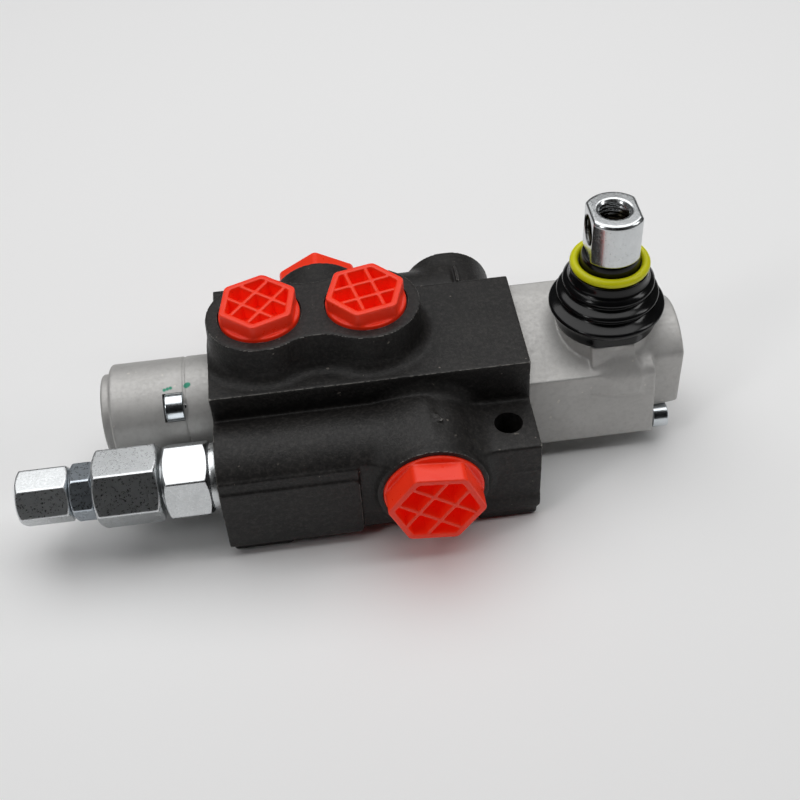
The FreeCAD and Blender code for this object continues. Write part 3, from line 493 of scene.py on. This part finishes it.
def red_plastic():
    # The faint red emission is a painted glow: it brightens the plastic, which is no lamp.
    p = Paint("red_plastic", Metallic=0.0, Specular_IOR_Level=0.35,
              Emission_Color=(1.0, 0.02, 0.004, 1.0), Emission_Strength=0.12)
    cloud = p.noise(70, 3, 0.5)
    base = p.mix(p.ramp(cloud, 0.3, 0.7), (0.84, 0.034, 0.010), (0.90, 0.048, 0.014))
    # Lighter orange edges are a painted highlight on the rims.
    p.colour(p.mix(p.edge(0.08, 0.35), base, (0.96, 0.10, 0.045)))
    p.rough(p.ramp(p.noise(420, 2, 0.5), 0.3, 0.7, 0.27, 0.4))
    p.bump((cloud, 0.2, 0.25), (p.noise(500, 2, 0.5), 0.12, 0.04))
    return p.material


def rubber(name, tone, roughness, specular=0.5, dust=0.5):
    p = Paint(name, Metallic=0.0, Specular_IOR_Level=specular)
    cloud = p.ramp(p.noise(150, 4, 0.7), 0.55, 0.8, 0.0, dust)
    p.colour(p.mix(cloud, tone, tuple(min(1.0, 1.25 * v + 0.014) for v in tone)))
    p.rough(p.ramp(p.noise(300, 3, 0.6), 0.3, 0.75, roughness * 0.85, roughness * 1.3))
    p.bump((p.noise(130, 3, 0.5), 0.12, 0.15), (p.noise(900, 2, 0.5), 0.1, 0.02))
    return p.material


def nylon():
    p = Paint("nylon", Metallic=0.0)
    cloud = p.noise(80, 3, 0.5)
    p.colour(p.mix(cloud, (0.72, 0.70, 0.62), (0.80, 0.78, 0.70)))
    p.rough(p.ramp(cloud, 0.3, 0.7, 0.4, 0.55))
    p.bump((p.noise(500, 2, 0.5), 0.1, 0.03))
    return p.material


PAINTS = {
    "cast_body": cast_iron(),
    "cast_aluminium": aluminium(),
    "zinc_steel": zinc("zinc_steel"),
    "zinc_screw": zinc("zinc_screw", (0.66, 0.70, 0.73), 0.2),
    "ground_steel": steel("ground_steel", (0.50, 0.50, 0.51), 0.22),
    "spring_wire": steel("spring_wire", (0.30, 0.30, 0.32), 0.3),
    "red_plastic": red_plastic(),
    "boot_rubber": rubber("boot_rubber", (0.0030, 0.0030, 0.0034), 0.16, 0.32, 0.3),
    "yellow_rubber": rubber("yellow_rubber", (0.72, 0.71, 0.004), 0.35, 0.35),
    "seal_rubber": rubber("seal_rubber", (0.012, 0.012, 0.012), 0.5),
    "bonded_seal": rubber("bonded_seal", (0.03, 0.03, 0.03), 0.5),
    "nylon": nylon(),
}


REPLACED = set()


def stands_for(item, node, body="base", paint=None):
    """A finished piece in place of a CAD node, in that node's finish."""
    item.data.materials.clear()
    item.data.materials.append(paint or PAINTS[SLOTS[node]])
    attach(item, body)
    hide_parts(node)
    REPLACED.add(node)


# ------------------------------------------------------------------ cast body
def ab_outline(g, grow):
    """Distance in plan from the outline of the A and B boss: two rounds and a waist."""
    middle = (PORT_A + PORT_B) / 2
    rounds = np.sqrt((np.abs(g.x - middle) - (PORT_B - PORT_A) / 2) ** 2 + g.y ** 2) - 16.9
    hollow = 17.9 - np.sqrt((g.x - middle) ** 2 + (np.abs(g.y) - 12.6 - 17.9) ** 2)
    web = np.maximum(np.maximum(hollow, np.abs(g.x - middle) - 8.15), np.abs(g.y) - 16)
    return np.minimum(rounds, web) - grow


def stroke(g, ends, half, low, high):
    """A short raised bar on top of a boss, between two points in plan."""
    (x0, y0), (x1, y1) = ends
    dx, dy = x1 - x0, y1 - y0
    t = np.clip(((g.x - x0) * dx + (g.y - y0) * dy) / (dx * dx + dy * dy), 0, 1)
    plan = np.sqrt((g.x - x0 - t * dx) ** 2 + (g.y - y0 - t * dy) ** 2) - half
    return np.maximum(plan, np.maximum(low - g.z, g.z - high))


def valve_casting():
    g = Grid((LEFT, -P_MOUTH, 0), (RIGHT, 48, AB_TOP), COARSE)
    far = 12
    block = g.box((LEFT - far, FRONT - 6, UNDER), (RIGHT + far, BACK, TOP), 0.8)
    block = np.maximum(block, FRONT - g.y + 0.042 * (TOP - g.z))

    # Front: the pressure gallery, the wall under it, the P boss and the front lug.
    gallery = g.rod(0, (-GALLERY, PORT_Z), 16.7, LEFT - far, PORT_P)
    gallery = np.maximum(gallery, -44.2 - g.y)
    wall = g.box((LEFT - far, -45.0, UNDER), (-2.3, 0, 34.0), 0.7)
    low_wall = g.box((LEFT - far, -43.9, UNDER), (PORT_P, 0, PORT_Z + 4), 0.8)
    front = np.minimum(join_round(gallery, low_wall, 0.8), wall)
    p_boss = g.rod(1, (PORT_P, PORT_Z), PT_BOSS, -P_MOUTH, 0, 0.3)
    lug = g.box((RIGHT - 19.8, -43.0, UNDER), (RIGHT + far, 0, 32), 0.9)
    body = join_round(block, front, 1.4)
    body = join_round(body, lug, 1.6)
    body = join_round(body, p_boss, 5.0)

    # Back: the tank gallery, the T and N bosses and the back lug.
    gallery = np.maximum(g.rod(0, (GALLERY + 0.9, PORT_Z), 16.2, PORT_T, PORT_N), g.y - 44.5)
    wall = g.box((LEFT + 18.8, 0, UNDER), (PORT_N, GALLERY + 8, PORT_Z + 6), 1.0)
    rear = join_round(gallery, wall, 2.0)
    for x, radius in ((PORT_T, PT_BOSS), (PORT_N, N_BOSS)):
        boss = np.maximum(g.rod(1, (x, PORT_Z), radius, 0, TN_MOUTH, 0.3), -g.y)
        rear = join_round(rear, boss, 2.0)
    back_lug = g.box((LEFT - far, 0, UNDER), (LEFT + 19.8, 48, 33), 0.9)
    body = join_round(body, join_round(rear, back_lug, 2.0), 2.0)

    # Feet, wider where they leave the casting.
    for x, y0, y1 in ((LEFT + 10.5, -43, -25), (RIGHT - 10.5, -43, -25), (LEFT + 10.5, 25, 43),
                      (RIGHT - 10.5, 2.6, 20.6)):
        body = join_round(body, g.box((x - 9.6, y0, 0), (x + 9.6, y1, 8), 1.1), 3.0)

    # The boss of the work ports, drafted, on a wide fillet.
    boss = ab_outline(g, 0.055 * np.maximum(AB_TOP - g.z, 0))
    boss = np.maximum(boss, np.maximum(g.z - AB_TOP, 40 - g.z))
    body = join_round(body, boss, 4.0)

    # Milled pad with round corners, parting line on the lug, and plain raised port marks.
    round_x = np.maximum(g.x - (-2.5 - 2.2), 0)
    round_z = np.maximum(np.abs(g.z - 17.1) - (12.3 - 2.2), 0)
    plan = np.sqrt(round_x ** 2 + round_z ** 2) - 2.2
    pad = np.maximum(plan, np.maximum(-45.6 - g.y, g.y + 40))
    body = np.minimum(body, pad)
    seam = g.box((36, -43.25, 21.0), (RIGHT + far, -42.5, 21.5), 0.1)
    body = join_round(body, seam, 0.3)
    crown = PORT_Z + PT_BOSS
    triangle = ((15.5, -35.5), (24.2, -35.5), (19.85, -28.5))
    for a, b in zip(triangle, triangle[1:] + triangle[:1]):
        body = np.minimum(body, stroke(g, (a, b), 0.6, 30, crown + 0.6))
    for x in (PORT_N - 2.5, PORT_N + 2.5):
        body = np.minimum(body, stroke(g, ((x, 31), (x, 38)), 0.6, 30, crown - 1.1))

    body = np.maximum(body, np.abs(g.x - (LEFT + RIGHT) / 2) - (RIGHT - LEFT) / 2)
    item = g.mesh("valve_body_casting", body)
    cutters = [drill("Z", (*place, -2), MOUNT_RADIUS, 45, 64) for place in MOUNT_HOLES]
    cutters += [
        drill("X", (LEFT - 1, 0, SPOOL_Z), 8.05, 102),
        drill("X", (LEFT - 1, 0, SPOOL_Z), 10.6, 8),
        drill("-X", (RIGHT + 1, 0, SPOOL_Z), 10.6, 8),
        drill("X", (LEFT - 1, *RELIEF), 9.6, 26),
    ]
    for axis, place, spot, thread in (
            ("-Z", (PORT_A, 0, AB_TOP), AB_SPOT, AB_THREAD),
            ("-Z", (PORT_B, 0, AB_TOP), AB_SPOT, AB_THREAD),
            ("Y", (PORT_P, -P_MOUTH, PORT_Z), PT_SPOT, PT_THREAD),
            ("-Y", (PORT_T, TN_MOUTH, PORT_Z), PT_SPOT, PT_THREAD),
            ("-Y", (PORT_N, TN_MOUTH, PORT_Z), N_SPOT, PT_THREAD)):
        cutters.append(lathe("cutter", [(-3, 0), (-3, spot), (SPOT_DEEP, spot),
                                        (SPOT_DEEP, thread), (20, thread), (20, 0)],
                             axis, place, 128, closed=False))
    carve(item, cutters)
    finish_mesh(item, 40)
    return item


stands_for(valve_casting(), "valve_body")


# ------------------------------------------------------------------ lever housing
def housing_casting():
    # The pad on the neck leans out past the front, so the grid reaches 3 mm further there.
    g = Grid((RIGHT, -HOUSE_HALF - 3.0, HOUSE_LOW), (BOSS_END, HOUSE_HALF, HOUSE_HIGH),
             COARSE * 0.8)
    # The roof falls 15 degrees to the front, and the end face has a little draft.
    run, rise = 33.0, 9.0
    shoulder = SPOOL_Z + 10.7
    roof = ((g.z - shoulder) * run - (g.y + HOUSE_HALF) * rise) / math.hypot(run, rise)
    section = g.box((RIGHT - 8, -HOUSE_HALF, HOUSE_LOW),
                    (HOUSE_END + 3, HOUSE_HALF, SPOOL_Z + 19.7), 0.5)
    # To the right of the neck's edge the creases fade into a soft blend.
    soft = np.clip((g.x - 75.5) / 7.0, 0, 1)
    section = meet_round(section, roof, 0.4 + 2.6 * soft)
    section = meet_round(section, g.x - (HOUSE_END - 1.2) + 0.055 * (g.z - 24), 0.5)
    section = np.maximum(section, RIGHT - g.x)
    section = np.maximum(section, -g.rod(2, (LEVER_X, 0), 15.9, NECK_STEP, 60))

    # The neck, with a flat pad at the front that leans out as it goes down.
    neck = g.rod(2, (LEVER_X, 0), 15.3, 20, NECK_STEP)
    lean = -14.9 - 0.30 * (NECK_STEP - g.z)
    pad = np.maximum(np.abs(g.x - LEVER_X + 0.7) - 7.0, np.maximum(lean - g.y, g.y))
    pad = np.maximum(pad, np.maximum(g.z - NECK_STEP, 28 - g.z))
    neck = np.minimum(neck, pad)
    seam = np.maximum(np.abs(g.x - 82.7) - 0.16, np.maximum(lean - 0.12 - g.y, g.y))
    neck = np.minimum(neck, np.maximum(seam, np.maximum(g.z - NECK_STEP, 34 - g.z)))

    # The end boss: round on top, flat at the front, back and below.
    end = g.rod(0, (0, SPOOL_Z), 18.6, 80, BOSS_END, 0.8)
    sides = np.abs(g.y) - 15.0 + 0.03 * (g.x - HOUSE_END)
    floor = 13.4 - g.z + 0.16 * (g.x - HOUSE_END)
    end = meet_round(end, meet_round(sides, floor, 1.0), 0.9)
    body = join_round(section, neck, 0.6 + 3.4 * soft)
    body = join_round(body, end, 0.4)
    body = np.minimum(body, g.rod(2, (LEVER_X, 0), 13.2, 30, HOUSE_HIGH, 0.4))
    item = g.mesh("lever_housing_casting", body)
    cutters = [
        drill("X", (RIGHT - 1, 0, SPOOL_Z), 12.0, 42.5),
        drill("X", (RIGHT - 1, 0, SPOOL_Z), 8.3, 49.5),
        drill("Z", (LEVER_X, 0, SPOOL_Z), 8.8, 20),
        drill("Z", (LEVER_X, 0, 40), 10.5, 20),
    ]
    for place in HOUSE_SCREWS:
        cutters.append(drill("X", (RIGHT - 1, *place), 2.6, 52, 32))
        cutters.append(drill("X", (HOUSE_END - 0.1, *place), 4.6, 12, 48))
    carve(item, cutters)
    finish_mesh(item, 40)
    return item


stands_for(housing_casting(), "lever_housing")


# ------------------------------------------------------------------ spring cap
def cap_casting():
    g = Grid((CAP_END, -CAP_RADIUS, SPOOL_Z - CAP_RADIUS),
             (LEFT, CAP_RADIUS, SPOOL_Z + CAP_RADIUS), FINE * 1.3)
    cap = g.rod(0, (0, SPOOL_Z), CAP_RADIUS, CAP_END + 3.0, LEFT, 1.3)
    flange = g.rod(0, (0, SPOOL_Z), CAP_RADIUS, -54.5, LEFT + 6, 0.2)
    step = g.rod(0, (0, SPOOL_Z), 13.6, CAP_END, -70, 0.9)
    cap = join_round(np.minimum(cap, flange), step, 0.4)
    # The fine step where the two halves of the mould meet.
    u, v = g.across(0, (0, SPOOL_Z))
    groove = np.sqrt((np.sqrt(u * u + v * v) - CAP_RADIUS) ** 2 + (g.x + 54.4) ** 2) - 0.35
    cap = np.maximum(cap, -groove)
    cap = np.maximum(cap, g.x - LEFT)
    item = g.mesh("spring_cap_casting", cap)
    cutters = [drill("-X", (LEFT + 1, 0, SPOOL_Z), 9.0, 24.5),
               drill("-X", (LEFT + 1, 0, SPOOL_Z), 10.6, 3)]
    for place in CAP_SCREWS:
        cutters.append(drill("-X", (-55.0, *place), 4.95, 6.4, 48))
    carve(item, cutters)
    finish_mesh(item, 40)
    return item


# Dabs of green paint: middle and radius.
GREEN_MARKS = (((-53.6, -6.2, 40.1), 0.7), ((-53.0, -6.0, 40.2), 0.6), ((-58.6, -6.4, 40.0), 0.35),
               ((-59.6, -6.6, 39.9), 0.35), ((-60.6, -6.8, 39.8), 0.35))
stands_for(cap_casting(), "spring_cap", paint=aluminium(GREEN_MARKS))


# ------------------------------------------------------------------ screws
def socket_screws(name, places, head_at, way, radius, tall, shank_radius, shank):
    """Two cap screws with hexagon sockets, as one piece."""
    parts = []
    for number, (y, z) in enumerate(places):
        low, high = sorted((head_at, head_at + tall * way))
        g = Grid((low, y - radius, z - radius), (high, y + radius, z + radius), FINE * 0.6)
        head = g.rod(0, (y, z), radius, low, high, 0.5)
        socket = g.hexagon(0, (y, z), 4.0, 0.4 + number, 0.1)
        deep = head_at + 2.7 * way
        reach = (deep - g.x) if way < 0 else (g.x - deep)
        head = np.maximum(head, -np.maximum(socket, reach))
        item = g.mesh(name, head)
        rod = lathe(name + "_shank", [(tall - 0.3, 0), (tall - 0.3, shank_radius),
                                      (tall + shank - 0.6, shank_radius),
                                      (tall + shank, shank_radius - 0.5), (tall + shank, 0)],
                    "X" if way > 0 else "-X", (head_at, y, z), 48, closed=False)
        parts += [item, rod]
    with bpy.context.temp_override(active_object=parts[0], object=parts[0],
                                   selected_editable_objects=parts, selected_objects=parts):
        bpy.ops.object.join()
    finish_mesh(parts[0], 40)
    return parts[0]


stands_for(socket_screws("spring_cap_screw_pair", CAP_SCREWS, -60.8, 1, 4.85, 6.0, 2.3, 20),
           "spring_cap_screws")
stands_for(socket_screws("lever_housing_screw_pair", HOUSE_SCREWS, 102.8, -1, 4.25, 5.2, 2.5, 55),
           "lever_housing_screws")


# ------------------------------------------------------------------ relief valve
def relief_hex(node, flats, corner, start, end, bores, low_cut=0.96, neck=None, tone=None):
    """A plated hexagon with both ends turned to a cone, and its bores."""
    turn = math.radians(corner)
    radius = flats / math.sqrt(3)
    low = start if neck is None else min(start, neck[1])
    high = end if neck is None else max(end, neck[2])
    g = Grid((low, RELIEF[0] - radius, RELIEF[1] - radius),
             (high, RELIEF[0] + radius, RELIEF[1] + radius), FINE)
    u, v = g.across(0, RELIEF)
    away = np.sqrt(u * u + v * v)
    solid = meet_round(g.hexagon(0, RELIEF, flats, turn, 0.35), g.slab(0, start, end), 0.35)
    for edge_gap in (g.x - start, end - g.x):
        cone = 0.5 * (away - low_cut * flats / 2) - 0.866 * edge_gap
        solid = meet_round(solid, cone, 0.35)
    if neck:
        solid = join_round(solid, g.rod(0, RELIEF, neck[0], neck[1], neck[2], 0.2), 0.3)
    for radius, x0, x1 in bores:
        solid = np.maximum(solid, -g.rod(0, RELIEF, radius, x0, x1))
    item = g.mesh(node + "_hex", solid)
    finish_mesh(item, 40)
    stands_for(item, node, paint=zinc("zinc_" + node, tone) if tone else None)


relief_hex("relief_adapter", 22.0, 18, -62.5, -48.0, [(5.45, -70, -40)],
           neck=(9.5, -48.6, -42.0))
relief_hex("relief_housing", 22.0, 55.5, -84.0, -63.5, [(5.6, -79, -60), (3.95, -90, -78)],
           neck=(7.6, -65.0, -62.6))
relief_hex("relief_lock_nut", 16.2, 51, -91.5, -84.0, [(3.95, -95, -80)],
           tone=(0.50, 0.55, 0.60))
relief_hex("relief_cap_nut", 16.0, 59, -108.0, -91.5, [(4.6, -105.9, -90)], 0.93)


# ------------------------------------------------------------------ transport plugs
def plug(node, axis, sign, centre, mouth, corner, flats, flange, thread, tall):
    """Moulded plug: hollow hexagon crossed by four ribs, on a flange and a shank."""
    floor = mouth - sign * SPOT_DEEP
    top = mouth + sign * tall
    spread = sorted((floor, top))
    turn = math.radians(corner)
    lows, highs = [0, 0, 0], [0, 0, 0]
    others = [n for n in range(3) if n != axis]
    for n, middle in zip(others, centre):
        lows[n], highs[n] = middle - flange, middle + flange
    lows[axis], highs[axis] = spread
    lows[axis] -= 0 if sign < 0 else 6
    highs[axis] += 6 if sign < 0 else 0
    g = Grid(lows, highs, FINE)
    along = (g.x, g.y, g.z)[axis] * sign
    base, roof = floor * sign, top * sign
    prism = meet_round(g.hexagon(axis, centre, flats, turn, 1.1), along - roof, 0.45)
    prism = np.maximum(prism, base - along)
    inner = g.hexagon(axis, centre, flats - 4.0, turn, 0.6)
    u, v = g.across(axis, centre)
    ribs = None
    for angle in (turn + math.radians(60), turn + math.radians(150)):
        across = np.abs(math.cos(angle) * u + math.sin(angle) * v)
        bar = np.abs(across - flats * 0.148) - 0.62
        ribs = bar if ribs is None else join_round(ribs, bar, 0.35)
    ribs = meet_round(ribs, along - (roof - 0.25), 0.3)
    hollow = np.maximum(inner, (base + 1.6) - along)
    shell = meet_round(prism, -hollow, 0.35)
    shell = np.minimum(shell, np.maximum(np.maximum(ribs, g.hexagon(axis, centre, flats - 2, turn)),
                                         base - along))
    disc = g.rod(axis, centre, flange, *sorted((floor, floor + sign * 2.2)), 0.55)
    disc = join_round(disc, np.maximum(shell, base - along), 0.5)
    disc = np.maximum(disc, -np.maximum(hollow, -ribs))
    shank = g.rod(axis, centre, thread, *sorted((floor - sign * 5.5, floor + sign * 1.0)), 0.5)
    item = g.mesh(node + "_moulding", np.minimum(disc, shank))
    finish_mesh(item, 45)
    stands_for(item, node)


plug("port_plug_a", 2, 1, (PORT_A, 0), AB_TOP, 80.5, 22.4, 12.7, 7.55, 5.5)
plug("port_plug_b", 2, 1, (PORT_B, 0), AB_TOP, -47.2, 22.4, 12.7, 7.55, 5.5)
plug("port_plug_p", 1, -1, (PORT_P, PORT_Z), -P_MOUTH, -6.0, 26.8, 15.6, 9.25, 8.0)
plug("port_plug_t", 1, 1, (PORT_T, PORT_Z), TN_MOUTH, -30.0, 26.8, 15.6, 9.25, 9.0)


# ------------------------------------------------------------------ lever head
def threaded(along, away, turn, radius=4.35, pitch=1.5):
    """A threaded hole: its wall runs in and out once a turn."""
    wave = (along / pitch - turn / (2 * math.pi)) % 1.0
    return away - (radius + 1.1 * np.abs(wave - 0.5))


def lever_head():
    half = HEAD_FLATS / 2
    g = Grid((LEVER_X - half, -HEAD_RADIUS, HEAD_LOW), (LEVER_X + half, HEAD_RADIUS, HEAD_TOP),
             FINE * 0.85)
    u, v = g.across(2, (LEVER_X, 0))
    away = np.sqrt(u * u + v * v)
    head = g.rod(2, (LEVER_X, 0), HEAD_RADIUS, HEAD_LOW, HEAD_TOP)
    head = meet_round(head, np.abs(u) - half, 0.3)
    rim = (away - HEAD_RADIUS + 0.8 + (g.z - HEAD_TOP)) * SQRT_HALF
    flat_rim = (np.abs(u) - half + 0.6 + (g.z - HEAD_TOP)) * SQRT_HALF
    head = meet_round(meet_round(head, rim, 0.25), flat_rim, 0.25)
    head = meet_round(head, (away - HEAD_RADIUS + 0.5 + (HEAD_LOW - g.z)) * SQRT_HALF, 0.2)
    hole = np.maximum(threaded(g.z, away, np.arctan2(v, u)), 74.2 - g.z)
    sink = (away - 5.45 + (HEAD_TOP - g.z)) * SQRT_HALF
    head = meet_round(head, -np.minimum(hole, sink), 0.12)
    # The side hole runs to the head's axis, 2.2 mm further in than the CAD's.
    w = g.z - SIDE_HIGH
    around = np.sqrt(v * v + w * w)
    side = np.maximum(threaded(g.x, around, np.arctan2(w, v)), u)
    side_sink = (around - 5.0 + (u + half)) * SQRT_HALF
    head = meet_round(head, -np.minimum(side, side_sink), 0.12)
    socket = g.rod(2, (LEVER_X, 0), 4.0, HEAD_LOW - 5, HEAD_LOW + 3.2)
    item = g.mesh("lever_head_machined", np.maximum(head, -socket))
    finish_mesh(item, 45)
    return item


stands_for(lever_head(), "lever_head", "lever",
           zinc("zinc_lever_head", (0.66, 0.68, 0.69), 0.22, painted_hole_shade=True))


# ------------------------------------------------------------------ boot
def rounded(points, times=3):
    """The same closed outline with its corners cut and blended."""
    points = np.array(points, float)
    for _ in range(times):
        after = np.roll(points, -1, 0)
        points = np.stack([0.75 * points + 0.25 * after, 0.25 * points + 0.75 * after], 1)
        points = points.reshape(-1, 2)
    return points


# Half section of the boot: height above its foot, and radius.
BOOT = (
    (0, 16.0), (0.2, 16.4), (3.4, 16.5), (4.4, 16.9), (5.5, 18.2), (6.4, 18.6), (7.2, 18.3),
    (8.2, 16.0), (9.2, 14.6), (10.1, 15.5), (11.1, 16.4), (12.0, 15.9), (13.1, 13.6),
    (14.0, 13.2), (15.0, 14.3), (15.9, 14.7), (16.8, 13.9), (17.6, 12.7), (20.3, 12.4),
    (20.9, 12.0), (21, 9.8), (22.3, 9.5), (24.6, 9.4), (26.4, 8.9), (26.5, 8.6), (26.5, 5.15),
    (25, 5.15), (22.5, 7.4), (19.5, 8.6), (16.2, 10.2), (14, 11.3), (10.6, 12.7), (0, 13.35),
)


def boot_moulding():
    low = NECK_STEP + 0.1
    item = lathe("boot_moulding", rounded(BOOT), "Z", (LEVER_X, 0, low), 192)
    # The skirt follows the flat on the neck.
    count = len(item.data.vertices)
    points = np.empty(count * 3)
    item.data.vertices.foreach_get("co", points)
    points = points.reshape(-1, 3) / MM
    from_axis = np.hypot(points[:, 0] - LEVER_X, points[:, 1])
    skirt_high, skirt_inside, flat_y = 4.0, 14.5, -15.2
    skirt = (points[:, 2] < low + skirt_high) & (from_axis > skirt_inside)
    points[skirt, 1] = np.maximum(points[skirt, 1], flat_y)
    item.data.vertices.foreach_set("co", (points * MM).ravel())
    item.data.update()
    finish_mesh(item, 50)
    item.data.materials.append(PAINTS["boot_rubber"])
    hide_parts("boot")
    REPLACED.add("boot")
    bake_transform(item)


boot_moulding()

# ------------------------------------------------------------------ pieces kept from the CAD
BEVELS = {"zinc_steel": 0.2, "ground_steel": 0.15}
for name, item in NODES.items():
    if name in REPLACED:
        continue
    slot = SLOTS[name]
    item.data.materials.clear()
    item.data.materials.append(PAINTS[slot])
    weld = item.modifiers.new("weld", "WELD")
    weld.merge_threshold = 2e-6
    if BEVELS.get(slot):
        bevel = item.modifiers.new("bevel", "BEVEL")
        bevel.width = BEVELS[slot] * MM
        bevel.segments = 2
        bevel.limit_method = "ANGLE"
        bevel.angle_limit = math.radians(35)

# ------------------------------------------------------------------ floor, light and camera
SIDE, DROP = 3.0, -0.0003  # in metres
floor = mesh_object("floor", [(-SIDE, -SIDE, DROP), (SIDE, -SIDE, DROP), (SIDE, SIDE, DROP),
                              (-SIDE, SIDE, DROP)], [(0, 1, 2, 3)])
floor_paint = Paint("pale_floor", Metallic=0.0, Roughness=0.9, Specular_IOR_Level=0.1)
floor_paint.colour(floor_paint.mix(floor_paint.noise(3, 2), (0.93, 0.93, 0.93),
                                   (0.95, 0.95, 0.95)))
floor.data.materials.append(floor_paint.material)

# The room is pale all round but for the dark side in front.
world = bpy.data.worlds.new("studio")
world.use_nodes = True
tree = world.node_tree
way = tree.nodes.new("ShaderNodeTexCoord")
toward = tree.nodes.new("ShaderNodeVectorMath")
toward.operation = "DOT_PRODUCT"
toward.inputs[1].default_value = (-0.05, -0.80, 0.60)
fall = tree.nodes.new("ShaderNodeMapRange")
fall.interpolation_type = "SMOOTHSTEP"
for socket, value in (("From Min", 0.72), ("From Max", 0.95), ("To Min", 1.15), ("To Max", 0.08)):
    fall.inputs[socket].default_value = value
tree.links.new(way.outputs["Generated"], toward.inputs[0])
tree.links.new(toward.outputs["Value"], fall.inputs["Value"])
tree.links.new(fall.outputs[0], tree.nodes["Background"].inputs["Strength"])
bpy.context.scene.world = world


def softbox(name, place, aim, wide, tall, power):
    data = bpy.data.lights.new(name, "AREA")
    data.shape = "RECTANGLE"
    data.size, data.size_y, data.energy = wide, tall, power
    item = bpy.data.objects.new(name, data)
    item.location = place
    item.rotation_euler = (Vector(aim) - Vector(place)).to_track_quat("-Z", "Y").to_euler()
    bpy.context.scene.collection.objects.link(item)


softbox("top_light", (0.0, 0.25, 0.9), (0, 0, 0), 1.3, 1.1, 9.0)
softbox("left_light", (-0.5, -0.35, 0.6), (0, 0, 0.03), 0.12, 0.3, 0.6)
softbox("right_light", (0.6, -0.1, 0.5), (0.05, 0, 0.03), 0.12, 0.3, 0.5)

camera_data = bpy.data.cameras.new("camera")
camera_data.sensor_width = 36.0
camera_data.lens = 55.54
camera_data.clip_start = 0.01
camera = bpy.data.objects.new("camera", camera_data)
right = Vector((0.9916, -0.1202, -0.0474))
up = Vector((0.1186, 0.7017, 0.7025))
back = Vector((-0.0512, -0.7022, 0.7101))
turn = Matrix((right, up, back)).transposed().to_4x4()
camera.matrix_world = Matrix.Translation((-0.00669, -0.29367, 0.3128)) @ turn
bpy.context.scene.collection.objects.link(camera)
bpy.context.scene.camera = camera
bpy.context.scene.view_settings.view_transform = "Standard"
